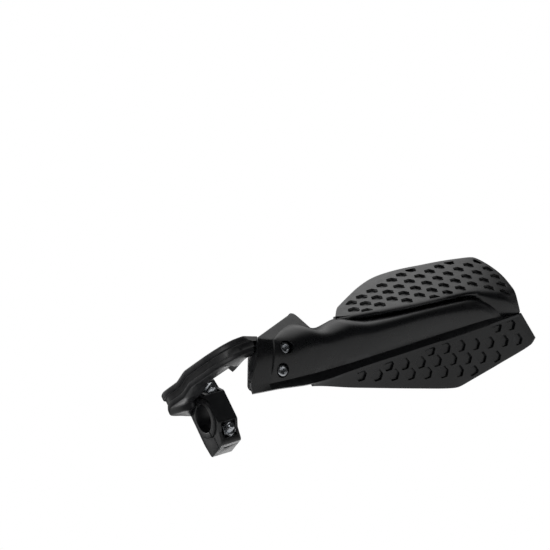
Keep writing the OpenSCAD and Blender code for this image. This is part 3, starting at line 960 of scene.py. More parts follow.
    def wing(self, x: float, z: float) -> np.ndarray:
        """A point on the wing's front.

        Args:
            x: Place along the handlebar.
            z: Height.

        Returns:
            The point.
        """
        u = x - self.WING_MIDDLE[0]
        toe = min(max((x - self.TOE_START) / self.TOE_RUN, 0.0), 1.0)
        y = self.WING_MIDDLE[1] - self.WING_SWEEP * u + z * self.WING_LEAN
        y += u * u / self.WING_BOW - u * z * self.WING_TWIST
        y += z * z / self.WING_DISH + toe * self.TOE * max(0.0, self.TOE_TOP - z) ** 2
        return np.array([x, y, z])

    def spar(self, rib: Sequence[float], t: float) -> np.ndarray:
        """A point on the spar's front.

        Args:
            rib: Where the rib starts above and ends below, and 1 where the spar is raised.
            t: Place from the upper crease, 0, to the lower one, 1.

        Returns:
            The point.
        """
        a = np.array([rib[0], self.top_y.at(rib[0]), self.top_z.at(rib[0])])
        b = np.array([rib[1], self.low_y.at(rib[1]), self.low_z.at(rib[1])])
        m = a * (1 - t) + b * t
        height = self.bulge * self.rise.at((rib[0] + rib[1]) / 2) - self.step * (1 - rib[2])
        m[1] -= height * math.sin(math.pi * t**self.ARCH_LEAN) ** self.ARCH_FULL if 0 < t < 1 else 0.0
        return m

    def ridge(self, x: float) -> np.ndarray:
        """A point on the ridge under the spar, by place along the handlebar."""
        z = self.low_z.at(min(x, self.LEDGE_END)) - self.ledge * self.ridge_drop.at(x)
        return np.array([x, self.ridge_y.at(x), z])

    def foot(self, x: float) -> np.ndarray:
        """A point on the lower panel's bottom edge, by place along the handlebar."""
        return np.array([x, self.panel_y.at(x), self.panel_z.at(x)])

    def panel(self, x: float, z: float) -> np.ndarray:
        """A point on the lower panel's front.

        Args:
            x: Place along the handlebar.
            z: Height.

        Returns:
            The point.
        """
        a, b = self.ridge(min(x, self.RIDGE_END)), self.foot(x)
        t = (a[2] - z) / (a[2] - b[2])
        return np.array([x, a[1] * (1 - t) + b[1] * t, z])


def edge_gap(p: np.ndarray, a: np.ndarray, b: np.ndarray) -> float:
    """Distance from a point p to the stretch of line from a to b."""
    t = min(max(float(np.dot(p - a, b - a) / np.dot(b - a, b - a)), 0.0), 1.0)
    return float(np.linalg.norm(p - a - t * (b - a)))


def fits(loop: np.ndarray, p: np.ndarray, gap: float) -> bool:
    """Whether a point lies inside a loop with room to its edge.

    Args:
        loop: Points of the loop.
        p: The point.
        gap: Room needed.

    Returns:
        True where it does.
    """
    nxt = np.roll(loop, -1, axis=0)
    inside = False
    for a, b in zip(loop, nxt):
        if (a[1] > p[1]) != (b[1] > p[1]):
            t = (p[1] - a[1]) / (b[1] - a[1])
            if p[0] < a[0] * (1 - t) + b[0] * t:
                inside = not inside
    return inside and min(edge_gap(p, a, b) for a, b in zip(loop, nxt) if np.any(a != b)) > gap


def inset(loop: np.ndarray, gaps: np.ndarray) -> np.ndarray:
    """Moves a loop inwards.

    Args:
        loop: Points of the loop, in either turning direction.
        gaps: How far each point moves.

    Returns:
        The smaller loop.
    """
    along = unit(np.roll(loop, -1, axis=0) - np.roll(loop, 1, axis=0))
    x, y = loop[:, 0], loop[:, 1]
    turn = np.sign(np.sum(x * np.roll(y, -1) - y * np.roll(x, -1)))
    moved = loop + turn * gaps[:, None] * np.stack([-along[:, 1], along[:, 0]], axis=1)
    return np.array([p for p in moved if fits(loop, p, float(np.min(gaps)) * 0.9)])


class Shell:
    """The moulded shell, made of its wing, wall, spar, lower panel, fin and screw seat."""

    # Stretches between two knots, on the surfaces and on the outline that the wing's recesses stay inside
    FINE = 4
    CLIP_FINE = 2
    # Knots of the wing's lower edge where the wall has its full depth, and where it turns down the spar's end
    FULL_KNOT = 2
    TURN_KNOT = 11
    # How deep the wall is at its start, as a share
    FIRST_DEPTH = 0.3
    # Stretches down the wing and down the panel
    WING_ROWS = 18
    PANEL_ROWS = 12
    # Recesses tried, down and along the wing and the panel
    WING_GRID = (range(-2, 8), range(-2, 10))
    PANEL_GRID = (range(1, 5), range(-7, 6))
    # Plain borders of the two fields, and how far inside them a recess's middle has to lie
    MARGIN = 3.0
    UNDER_MARGIN = 7.0
    PANEL_MARGIN = 2.2
    PARTIAL = 0.1
    # The turn from the wing into its wall: length on the wing, its largest share, and share of the wall
    FILLET = 9.0
    FILLET_MOST = 0.4
    FILLET_DOWN = 0.85
    FILLET_STEPS = (0.15, 0.3, 0.45, 0.6, 0.7, 0.8, 0.9, 1.0)
    # How far one sheet runs on under another, so that no gap shows
    TUCK = 2.0
    UNDER_WALL = 2.4
    UNDER_FIN = 0.05
    LIP = 1.7
    # Where the wall starts, along the handlebar
    WALL_START = 80
    # How far the lower panel lies behind the spar's lip
    SEAM = 0.12
    # Rounded rims
    RIM = 0.8
    SPAR_RIM = 0.7
    # Points across the spar
    SPAR_POINTS = 25
    # The seat: ribs that it spans, share of each that it leaves free, points down it, its depth behind
    # the spar's front, and its least wall
    SEAT_RIBS = 7
    SEAT_START = 0.14
    SEAT_ROWS = 10
    SEAT_SINK = 1.8
    SEAT_LEAST = 0.4
    # The fin: its top edge rises evenly, then turns down round its nose
    FIN_RIBS = 14
    FIN_ROWS = 8
    FIN_SINK = 1
    FIN_TOP = 35.3
    FIN_END = 57.0
    FIN_STRAIGHT = 50.0
    FIN_NOSE = ((54, 34.5), (56.5, 33.7), (57.6, 31.9), (58.4, 26.3), (59.4, 15.4))
    FIN_NOSE_RIBS = (52, 54, 55.5, 56.5, 57.2, 57.7, 58.1, 58.5, 59.4)
    # The screws' counterbores and holes
    SCREW_SEAT = -3.4
    BORE_R = 5.15
    HOLE_R = 2.7
    DRILL = (-30, 20)

    def __init__(self, form: ShellForm, mat: Material) -> None:
        """Keeps the form.

        Args:
            form: The shell's surfaces.
            mat: Its material.
        """
        self.form = form
        self.mat = mat
        self.outer = smooth_line(form.outer, self.FINE)
        self.inner = smooth_line(form.inner, self.FINE)

    def ribs(self) -> np.ndarray:
        """The spar's ribs, one a row, made finer on the pad and outboard of its step."""
        r = np.array(self.form.ribs, float)
        return np.concatenate([smooth_line(part, self.FINE) for part in (r[:3], r[3:])])

    def wall_foot(self, k: int) -> np.ndarray:
        """Where the wall under the wing's lower edge ends, on the spar.

        Args:
            k: Number of the point on the wing's lower edge.

        Returns:
            The point.
        """
        f = self.form
        full, turn, n = self.FULL_KNOT * self.FINE, self.TURN_KNOT * self.FINE, len(self.inner) - 1
        if k < full:
            whole = self.wall_foot(full) - f.wing(*self.inner[full])
            return f.wing(*self.inner[k]) + whole * (self.FIRST_DEPTH + (1 - self.FIRST_DEPTH) * k / full)
        if k <= turn:
            start, end, last = f.inner[0][0], f.inner[self.TURN_KNOT][0], f.ribs[-1][0]
            x = start + (last - start) * (self.inner[k][0] - start) / (end - start)
            return f.spar((x, x, 1, x), 0)
        return f.spar(f.ribs[-1], (k - turn) / (n - turn))

    def wing_row(self, k: int) -> list[np.ndarray]:
        """One row of the wing's front: down the wing, round the fillet and down the wall.

        Args:
            k: Number of the row.

        Returns:
            The row's points.
        """
        f = self.form
        o, i = self.outer[k], self.inner[k]
        e, g = f.wing(*i), self.wall_foot(k)
        drop = float(np.linalg.norm(g - e))
        into = unit(g - e)
        r = drop * self.FILLET_DOWN
        fall = float(np.linalg.norm(e - f.wing(*o)))
        last = 1 - min(self.FILLET, fall * self.FILLET_MOST) / fall
        rows = self.WING_ROWS
        row = [f.wing(*(o * (1 - last * j / rows) + i * last * j / rows)) for j in range(rows + 1)]
        start, end = row[-1], e + into * r
        for t in self.FILLET_STEPS:
            row.append(start * (1 - t) ** 2 + e * 2 * t * (1 - t) + end * t * t)
        row += [g, g + into * self.TUCK]
        return row

    def wing(self) -> Piece:
        """Builds the wing and the wall under it, with the wing's recesses.

        Returns:
            The wing's object.
        """
        f = self.form
        front = np.array([self.wing_row(k) for k in range(len(self.inner))])
        obj = Sheet("wing", front, f.thickness, self.RIM).build(self.mat)
        over, under = smooth_line(f.outer, self.CLIP_FINE), smooth_line(f.inner, self.CLIP_FINE)[::-1]
        loop = np.concatenate([over, under])
        gaps = np.array([self.MARGIN] * len(over) + [self.UNDER_MARGIN] * len(under))
        clip = inset(loop, gaps)
        down, along = self.WING_GRID
        spots = [f.wing_recess(i, j) for i in down for j in along]
        places = [self._place(f.wing, p) for p in spots if fits(clip, p, self.PARTIAL)]
        LOG.info("wing recesses: %d", len(places))
        HexField("wing_recesses", places, clip).cut(obj, self.mat)
        return obj

    def panel(self) -> Piece:
        """Builds the lower panel with its recesses.

        Returns:
            The panel's object.
        """
        f = self.form
        across = [j / self.PANEL_ROWS for j in range(self.PANEL_ROWS + 1)]
        ribs = smooth_line(f.panel_ribs, self.FINE)
        front = np.array([[f.ridge(c[0]) * (1 - t) + f.foot(c[1]) * t for t in across] for c in ribs])
        front[:, :, 1] += self.SEAM
        obj = Sheet("lower_panel", front, f.thickness, self.RIM).build(self.mat)
        edge = [f.ridge(c[0]) for c in f.panel_ribs] + [f.foot(c[1]) for c in f.panel_ribs[::-1]]
        loop = np.array(edge)[:, [0, 2]]
        clip = inset(loop, np.full(len(loop), self.PANEL_MARGIN))
        down, along = self.PANEL_GRID
        spots = [f.panel_recess(row, k) for row in down for k in along]
        places = [self._place(f.panel, p) for p in spots if fits(clip, p, self.PARTIAL)]
        LOG.info("panel recesses: %d", len(places))
        HexField("panel_recesses", places, clip, floor=9.5, depth=1.9).cut(obj, self.mat)
        return obj

    @staticmethod
    def _place(surface: Callable[[float, float], np.ndarray], p: np.ndarray) -> Place:
        """Where a recess lies on a surface.

        Args:
            surface: Function from place and height to a point.
            p: Place and height.

        Returns:
            The point, the outward normal and the length direction.
        """
        q = surface(p[0], p[1])
        tx = unit(surface(p[0] + 1, p[1]) - q)
        tz = surface(p[0], p[1] + 1) - q
        n = unit(np.cross(tx, tz))
        return q, n, tx

    def spar(self) -> Piece:
        """Builds the spar with its ledge and the lip that starts the lower panel.

        Returns:
            The spar's object.
        """
        f = self.form
        front = []
        for rib in self.ribs():
            top = [f.spar(rib, t) for t in np.linspace(0, 1, self.SPAR_POINTS)]
            above = self.UNDER_WALL if rib[0] > self.WALL_START else self.UNDER_FIN
            top.insert(0, top[0] + unit(top[0] - top[1]) * above)
            r = f.ridge(rib[3])
            on_panel = rib[3] > f.panel_ribs[0][0]
            lip = (unit(f.foot(rib[3]) - r) if on_panel else np.array([0.0, 1.0, 0.0])) * self.LIP
            front.append(top + [r, r + lip])
        return Sheet("spar", np.array(front), f.thickness, self.SPAR_RIM).build(self.mat)

    def fin(self) -> Piece:
        """Builds the fin above the pad.

        Returns:
            The fin's object.
        """
        f = self.form
        start, _, base = FIN_CORNER
        edge = Curve(((start, base), (self.FIN_END, self.FIN_TOP)))
        nose = Curve(((self.FIN_STRAIGHT, edge.line(self.FIN_STRAIGHT)),) + self.FIN_NOSE)
        front = []
        for x in [*np.linspace(start, self.FIN_STRAIGHT, self.FIN_RIBS), *self.FIN_NOSE_RIBS]:
            top = edge.line(x) if x <= self.FIN_STRAIGHT else nose.at(x)
            fall = f.top_z.at(x) - self.FIN_SINK - top
            rows = [top + fall * j / self.FIN_ROWS for j in range(self.FIN_ROWS + 1)]
            front.append([[x, fin_y(x, z), z] for z in rows])
        return Sheet("fin", np.array(front), f.thickness, self.RIM).build(self.mat)

    def seat(self) -> Piece:
        """Builds the flat-backed seat that the end plate bears on.

        Returns:
            The seat's object.
        """
        f = self.form
        tilt = np.array([0.0, math.cos(PAD_TILT), math.sin(PAD_TILT)])
        down = np.linspace(self.SEAT_START, 1, self.SEAT_ROWS)
        sink = np.array([0, self.SEAT_SINK, 0])
        front = np.array([[f.spar(r, t) + sink for t in down] for r in f.ribs[: self.SEAT_RIBS]])
        push = np.maximum(SEAT_Y - front @ tilt, self.SEAT_LEAST)[..., None] * tilt
        return Sheet("seat", front, f.thickness, 0.0, push).build(self.mat)

    def build(self) -> Piece:
        """Builds the whole shell.

        Returns:
            The shell's object.
        """
        parts = [self.wing(), self.panel(), self.fin(), self.spar(), self.seat()]
        for drilled in parts[-2:]:
            self._bore(drilled)
        skin = join("shell_skin", parts)
        shade(skin, angle_deg=38)
        return skin

    def _bore(self, obj: Piece) -> None:
        """Cuts the screws' counterbores and holes.

        Args:
            obj: A part of the shell.
        """
        wide, narrow, tools = circle(self.BORE_R), circle(self.HOLE_R), []
        for at in (pad_matrix(-1), pad_matrix(1)):
            tools.append(prism("counterbore", wide, self.DRILL[0], self.SCREW_SEAT, at, self.mat))
            tools.append(prism("screw_hole", narrow, *self.DRILL, at, self.mat))
        carve(obj, tools)


def pad_frame() -> Matrix:
    """Frame of the pad in millimetres, whose Z runs inward from its seat plane."""
    tilt = Matrix.Rotation(PAD_TILT, 4, "X")
    return tilt @ Matrix.Translation((PAD_X, SEAT_Y, 0)) @ Matrix.Rotation(math.radians(-90), 4, "X")


def pad_matrix(s: int) -> Matrix:
    """Frame of a shell screw in millimetres: Z runs inward from the pad's seat plane.

    Args:
        s: 1 for the upper screw, -1 for the lower.

    Returns:
        The matrix from the screw's frame to the part's.
    """
    # The two screws stand on a line turned 27 degrees, each 8.6 mm from its middle.
    turn, half, middle = math.radians(27), 8.6, -20.1
    x, y = s * half * math.sin(turn), middle - s * half * math.cos(turn)
    return pad_frame() @ Matrix.Translation((x, y, 0))


def bolt_matrix(s: int) -> Matrix:
    """Frame of a clamp bolt, 1 for the upper and -1 for the lower, whose Z runs rearward along it."""
    return Matrix.Translation((0, 0, s * ClampForm.bolt_z)) @ Matrix.Rotation(math.radians(-90), 4, "X")


# Hardware


@dataclass
class Turned:
    """A piece turned about Z, whose rings may be round, hexagonal, knurled or threaded.

    Attributes:
        name: Name of the piece.
        rings: Height of each ring, and its radius or a function of angle and height that gives it.
        segments: Points round each ring.
    """

    name: str
    rings: list[tuple[float, Radius | float]]
    segments: int = 96

    def build(self, at: Matrix, mat: Material, closed: bool = False) -> Piece:
        """Makes the mesh.

        Args:
            at: Frame of the piece in millimetres.
            mat: Its material.
            closed: True for a ring-shaped piece, whose last ring meets its first.

        Returns:
            The new object.
        """
        n = self.segments
        verts = []
        for z, radius in self.rings:
            for i in range(n):
                a = 2 * math.pi * i / n
                r = radius(a, z) if callable(radius) else radius
                verts.append(tuple(at @ Vector((r * math.cos(a), r * math.sin(a), z))))
        faces = loft_faces(len(self.rings), n, closed)
        obj = outward(make_object(self.name, np.array(verts), faces, mat))
        shade(obj, angle_deg=28)
        return obj


def hexagon(flats: float, cap: float = math.inf) -> Radius:
    """Radius of a hexagon, cut round at a largest radius.

    Args:
        flats: Width across the flats.
        cap: Largest radius.

    Returns:
        The radius as a function of angle and height.
    """

    def radius(a: float, _z: float) -> float:
        """Radius at an angle."""
        turn = (a + math.pi / 6) % (math.pi / 3) - math.pi / 6
        return min(flats / 2 / math.cos(turn), cap)

    return radius


def thread(outer: float, pitch: float, depth: float) -> Radius:
    """Radius of a screw thread.

    Args:
        outer: Outer radius.
        pitch: Distance between turns.
        depth: Depth of the thread.

    Returns:
        The radius as a function of angle and height.
    """
    # Share of half a turn that is flat at the crest, and at the root
    flat = 0.1

    def radius(a: float, z: float) -> float:
        """Radius at an angle and height."""
        phase = (z / pitch - a / (2 * math.pi)) % 1.0
        return outer - depth * min(1.0, max(0.0, (abs(2 * phase - 1) - flat) / (1 - 2 * flat)))

    return radius


@dataclass
class SocketScrew:
    """A socket head screw: knurled head, hexagon socket and a threaded shank.

    Attributes:
        name: Name of the piece.
        d: Thread diameter.
        head_d: Diameter of the head.
        head_h: Height of the head.
        length: Length under the head.
        thread_len: Length of thread at the tip.
        pitch: Thread pitch.
    """

    name: str
    d: float
    head_d: float
    head_h: float
    length: float
    thread_len: float
    pitch: float

    def build(self, at: Matrix, mat: Material) -> Piece:
        """Makes the screw, head towards -Z with its underside at height 0.

        Args:
            at: Frame of the screw in millimetres.
            mat: Its material.

        Returns:
            The new object.
        """
        r, h, hr = self.d / 2, self.head_h, self.head_d / 2
        key = self.head_d * 0.56 * math.cos(math.pi / 6)
        start = self.length - self.thread_len

        def knurl(a: float, _z: float) -> float:
            """Radius of the knurled side at an angle."""
            return hr - 0.07 + 0.06 * math.cos(a * 32)

        rings = [
            (-h + h * 0.55, hexagon(key * 0.4)),
            (-h + h * 0.5, hexagon(key * 0.97)),
            (-h + 0.45, hexagon(key)),
            (-h + 0.22, hexagon(key + 0.35, key * 0.62)),
            (-h, key * 0.64),
            (-h, hr - 0.85),
            (-h + 0.1, hr - 0.45),
            (-h + 0.5, hr - 0.08),
            (-h + 0.62, knurl),
            (-0.45, knurl),
            (-0.2, hr - 0.15),
            (0, hr - 0.35),
            (0, r + 0.25),
            (0.3, r),
            (max(start - 0.6, 0.4), r),
        ]
        turns = thread(r - 0.01, self.pitch, self.pitch * 0.55)
        rings += [(z, turns) for z in np.arange(start, self.length - 0.7, self.pitch / 8)]
        rings += [(self.length - 0.6, r - self.pitch * 0.5), (self.length, r - self.pitch * 0.85)]
        return Turned(self.name, rings).build(at, mat)


@dataclass
class HexNut:
    """A hexagon nut with chamfered corners.

    Attributes:
        name: Name of the piece.
        flats: Width across the flats.
        height: Thickness.
        bore: Diameter of the hole.
    """

    name: str
    flats: float
    height: float
    bore: float

    def build(self, at: Matrix, mat: Material) -> Piece:
        """Makes the nut, from height 0 towards -Z.

        Args:
            at: Frame of the nut in millimetres.
            mat: Its material.

        Returns:
            The new object.
        """
        a, h, hole = self.flats, self.height, self.bore / 2
        full = a / 2 / math.cos(math.pi / 6)
        side = [(0, a * 0.475), (0.12, a * 0.5), (0.32, full - 0.25), (0.55, full)]
        rings = [(-z, hexagon(a - 0.02, cap)) for z, cap in side]
        rings += [(z - h, hexagon(a - 0.02, cap)) for z, cap in side[::-1]]
        rings += [(-h, hole + 0.42), (-h + 0.4, hole + 0.02), (-0.4, hole + 0.02), (0, hole + 0.42)]
        return Turned(self.name, rings).build(at, mat, closed=True)


class Hardware:
    """Clamp bolts, clamp nuts, shell screws and their nuts."""

    # Where heads and nuts bear, along the bolt or screw
    HEAD_Y = 12.1
    NUT_Y = -6.7
    PAD_NUT_Y = 9.0
    # Sizes of each kind
    CLAMP_BOLT = {"d": 6, "head_d": 10, "head_h": 6, "length": 29.8, "thread_len": 16, "pitch": 1.0}
    CLAMP_NUT = {"flats": 10, "height": 5, "bore": 6}
    SHELL_SCREW = {"d": 5, "head_d": 8.5, "head_h": 4, "length": 13, "thread_len": 6, "pitch": 0.8}
    SHELL_NUT = {"flats": 8, "height": 4, "bore": 5}

    def __init__(self, bright: Material) -> None:
        """Keeps the plated steel's material."""
        self.bright = bright

    def build(self) -> list[tuple[Piece, str]]:
        """Builds each piece.

        Returns:
            Each piece with the CAD node that it stands for.
        """
        out = []
        flip = Matrix.Rotation(math.pi, 4, "X")
        turned = Matrix.Rotation(math.radians(30), 4, "Z")
        for s, word in ((1, "upper"), (-1, "lower")):
            head = bolt_matrix(s) @ Matrix.Translation((0, 0, self.HEAD_Y)) @ flip
            nut = bolt_matrix(s) @ Matrix.Translation((0, 0, self.NUT_Y))
            screw = pad_matrix(s) @ Matrix.Translation((0, 0, Shell.SCREW_SEAT))
            pad_nut = pad_matrix(s) @ Matrix.Translation((0, 0, self.PAD_NUT_Y)) @ turned
            pieces = (
                ("clamp_bolt_", SocketScrew, self.CLAMP_BOLT, head),
                ("clamp_nut_", HexNut, self.CLAMP_NUT, nut),
                ("shell_screw_", SocketScrew, self.SHELL_SCREW, screw),
                ("shell_nut_", HexNut, self.SHELL_NUT, pad_nut),
            )
            for start, kind, sizes, at in pieces:
                node = start + word
                out.append((kind(node + "_skin", **sizes).build(at, self.bright), node))
        return out


# The bracket


@dataclass
class ClampForm:
    """Sizes of the bar clamp, in millimetres.

    Attributes:
        bore_r: Radius of the bore.
        width: Width along the bar.
        bolt_z: Height of each bolt above or below the bar.
        lug_z: Height of the lugs' ends.
        front_y: Front face of the cap.
        lug_y: Front of the cap's lugs.
        rear_y: Rear face of the fixed half.
        split: Half the gap between the two halves.
        bolt_r: Radius of the bolt holes.
        ring_r: Outer radius of the ring round the bore.
        ring_h: How far that ring stands out.
    """

    bore_r: float = 11.1
    width: float = 17.0
    bolt_z: float = 17.4
    lug_z: float = 26.8
    front_y: float = -15.5
    lug_y: float = -10.3
    rear_y: float = 18.4
    split: float = 0.3
    bolt_r: float = 3.2
    ring_r: float = 15.7
    ring_h: float = 1.6

    # The half ring: room left at the split, how far it starts inside the clamp, its rounding and points
    RING_ROOM = 0.05
    RING_SINK = 0.6
    RING_ROUND = 0.55
    RING_POINTS = 49

    def drills(self, mat: Material) -> list[Piece]:
        """Makes the shapes of the bore and the bolt holes.

        Args:
            mat: Material of the cut faces.

        Returns:
            The shapes.
        """
        out = [prism("bore", circle(self.bore_r, steps=96), -60, 60, SIDE_VIEW, mat)]
        for s in (-1, 1):
            out.append(prism("bolt_hole", circle(self.bolt_r, steps=48), -40, 40, bolt_matrix(s), mat))
        return out

    def half_ring(self, side: int, mat: Material) -> Piece:
        """Makes one half of the ring round the bore.

        Args:
            side: 1 for the rear half, -1 for the front half.
            mat: Its material.

        Returns:
            The new object.
        """
        lean = math.asin((self.split + self.RING_ROOM) / self.bore_r)
        turns = np.linspace(lean - math.pi / 2, math.pi / 2 - lean, self.RING_POINTS)
        arc = np.stack([side * np.cos(turns), np.sin(turns)], axis=1)
        outline = np.concatenate([arc * self.ring_r, arc[::-1] * self.bore_r])
        edge = -self.width / 2
        ring = prism("half_ring", outline, edge - self.ring_h, edge + self.RING_SINK, SIDE_VIEW, mat)
        soften(ring, self.RING_ROUND)
        return ring


class ClampCap:
    """The loose front half of the clamp, with a pocket for each nut."""

    # Outline of a nut's pocket, about its bolt
    POCKET = ((-5.95, -5.15), (6.2, -5.15), (6.2, 5.15), (-5.95, 5.15))

    def __init__(self, form: ClampForm, mat: Material) -> None:
        """Keeps the sizes and the material."""
        self.form = form
        self.mat = mat

    def build(self) -> Piece:
        """Builds the cap.

        Returns:
            The new object.
        """
        f = self.form
        corners = [(-f.split, f.lug_z, 0), (f.lug_y + 1.6, f.lug_z, 2.5), (f.lug_y, f.bolt_z, 1.5)]
        corners += [(f.front_y, f.bolt_z - 5, 2.5), (f.front_y, 5 - f.bolt_z, 2.5), (f.lug_y, -f.bolt_z, 1.5)]
        corners += [(f.lug_y + 3.2, -f.lug_z, 2.5), (-f.split, -f.lug_z, 0)]
        body = prism("cap_body", fillet(corners), -f.width / 2, f.width / 2, SIDE_VIEW, self.mat)
        pocket = np.array(self.POCKET)
        tools = f.drills(self.mat)
        for s in (-1, 1):
            tools.append(prism("pocket", pocket, -40, Hardware.NUT_Y, bolt_matrix(s), self.mat))
        carve(body, tools)
        soften(body, width_mm=0.5, angle_deg=32)
        cap = join("clamp_cap_skin", [body, f.half_ring(-1, self.mat)])
        shade(cap, angle_deg=35)
        return cap


@dataclass
class ArmForm:
    """The arm's run in plan and its section, in millimetres.

    Attributes:
        run: Outer and inner edge at each station, from the shell round to the clamp.
        height: Height of the section.
        tail_drop: How much deeper the section is behind the clamp.
        step: Ends of the step in the top edge, along Y.
    """

    run: tuple = (
        (8.6, -98.0, 9.0, -88.0),
        (3.0, -95.3, 6.5, -87.2),
        (-3.0, -91.8, 3.5, -85.2),
        (-9.6, -86.4, 0.8, -81.0),
        (-15.6, -77.5, -0.7, -73.8),
        (-20.6, -64.0, -1.8, -61.8),
        (-24.4, -48.0, -5.2, -46.2),
        (-27.6, -32.4, -8.2, -31.4),
        (-30.9, -17.0, -8.6, -17.0),
        (-33.2, -7.5, -8.6, -8.5),
        (-33.9, -2.0, -8.6, -3.0),
        (-32.8, 3.4, -7.9, 1.2),
        (-29.0, 6.8, -7.6, 3.0),
        (-20.0, 11.6, -7.6, 6.5),
        (-14.0, 15.2, -7.6, 9.5),
        (-9.6, 17.4, -7.4, 12.5),
        (-7.0, 18.2, -6.6, 13.0),
    )
    height: float = 14.5
    tail_drop: float = 3.0
    step: tuple[float, float] = (-34.0, -22.0)

    # The section: how far in from its outer or inner edge, and from its top or bottom
    OUTSIDE = (
        (1.1, 0.0), (0.35, 0.3), (0.0, 1.0), (0.0, 4.0), (0.15, 4.5), (0.5, 4.7), (1.4, 4.9), (1.7, 5.3),
    )
    BELOW = (
        (1.7, 4.9), (1.4, 4.5), (0.5, 4.3), (0.15, 4.1), (0.0, 3.6), (0.0, 1.0), (0.35, 0.3), (1.1, 0.0),
    )
    INSIDE = ((7.0, 0.0), (4.6, 0.5), (2.6, 1.7), (1.0, 3.6), (0.15, 6.0), (0.0, 7.5))
    TOP = ((0.0, 1.0), (0.35, 0.3), (1.1, 0.0))
    # The top edge: height and slope at the clamp, and the step up and slope beyond it
    TOP_Z = 28.5
    NEAR_SLOPE = 0.13
    STEP_UP = 1.4
    FAR_SLOPE = math.tan(math.radians(8.5))
    # Where the section is at its usual depth, and where it has its whole tail
    TAIL = (-4.0, 4.0)
    # The end behind the fin: where its top edge starts to fall, its height there and its slope
    TIP_X = -8
    TIP_Y = -60
    TIP_Z = 20.03
    TIP_SLOPE = 0.194
    # The fin's back bounds it above this height, this far behind the fin's front. Below that, the plane
    # of the pad's seat bounds it, from this far inboard of the shell's edge.
    FIN_Z = 10.8
    BEHIND_FIN = 4.2
    EDGE_ROOM = 1.4
    # Where the arm is narrower than this, the section is pinched with it
    FULL_WIDTH = 12.0
    # Lower corner of the shell's inboard edge, in place and height
    SHELL_CORNER = (-11, -17.8)

    def top(self, x: float, y: float) -> float:
        """Height of the arm's top edge.

        Args:
            x: Place along the handlebar.
            y: Place fore and aft.

        Returns:
            The height.
        """
        far = self.TOP_Z + (y - self.step[1]) * self.FAR_SLOPE + self.STEP_UP
        near = self.TOP_Z + (min(y, self.TAIL[0]) - self.TAIL[0]) * self.NEAR_SLOPE
        t = min(max((y - self.step[0]) / (self.step[1] - self.step[0]), 0.0), 1.0)
        z = far * (1 - t) + near * t
        if x > self.TIP_X and y < self.TIP_Y:
            return min(z, self.TIP_Z - (x - self.TIP_X) * self.TIP_SLOPE)
        return z

    def front_limit(self, x: float, z: float) -> float:
        """How far forward the arm may reach, behind the fin's corner and the shell's edge.

        Args:
            x: Place along the handlebar.
            z: Height.

        Returns:
            The foremost Y.
        """
        corner_x, corner_z = self.SHELL_CORNER
        edge = corner_x + (FIN_CORNER[0] - corner_x) * (z - corner_z) / (FIN_CORNER[2] - corner_z)
        plate = (SEAT_Y + SEAT_GAP - z * math.sin(PAD_TILT)) / math.cos(PAD_TILT)
        if z >= self.FIN_Z:
            return fin_y(x, z) + self.BEHIND_FIN
        return plate if x > edge - self.EDGE_ROOM else -math.inf

    def section(self, station: Sequence[float]) -> list[tuple[float, float, float]]:
        """Points of the section at a station.

        Args:
            station: Outer and inner edge in plan.

        Returns:
            The points, all round the section.
        """
        o, i = np.array(station[:2]), np.array(station[2:])
        width = float(np.linalg.norm(i - o))
        reach = min(1.0, width / self.FULL_WIDTH)
        out = []
        rows = [(w, h, 0, 0) for w, h in self.OUTSIDE] + [(w, h, 0, 1) for w, h in self.BELOW]
        rows += [(w, h, 1, 1) for w, h in self.INSIDE] + [(w, h, 1, 0) for w, h in self.TOP]
        for w, h, inner, under in rows:
            p = i + (o - i) / width * w * reach if inner else o + (i - o) / width * w * reach
            x, y = float(p[0]), float(p[1])
            drop = min(max((y - self.TAIL[0]) / (self.TAIL[1] - self.TAIL[0]), 0.0), 1.0)
            deep = self.height + self.tail_drop * drop * drop * (3 - 2 * drop)
            z = self.top(x, y) - (deep - h if under else h)
            out.append((x, max(y, self.front_limit(x, z)), z))
        return out


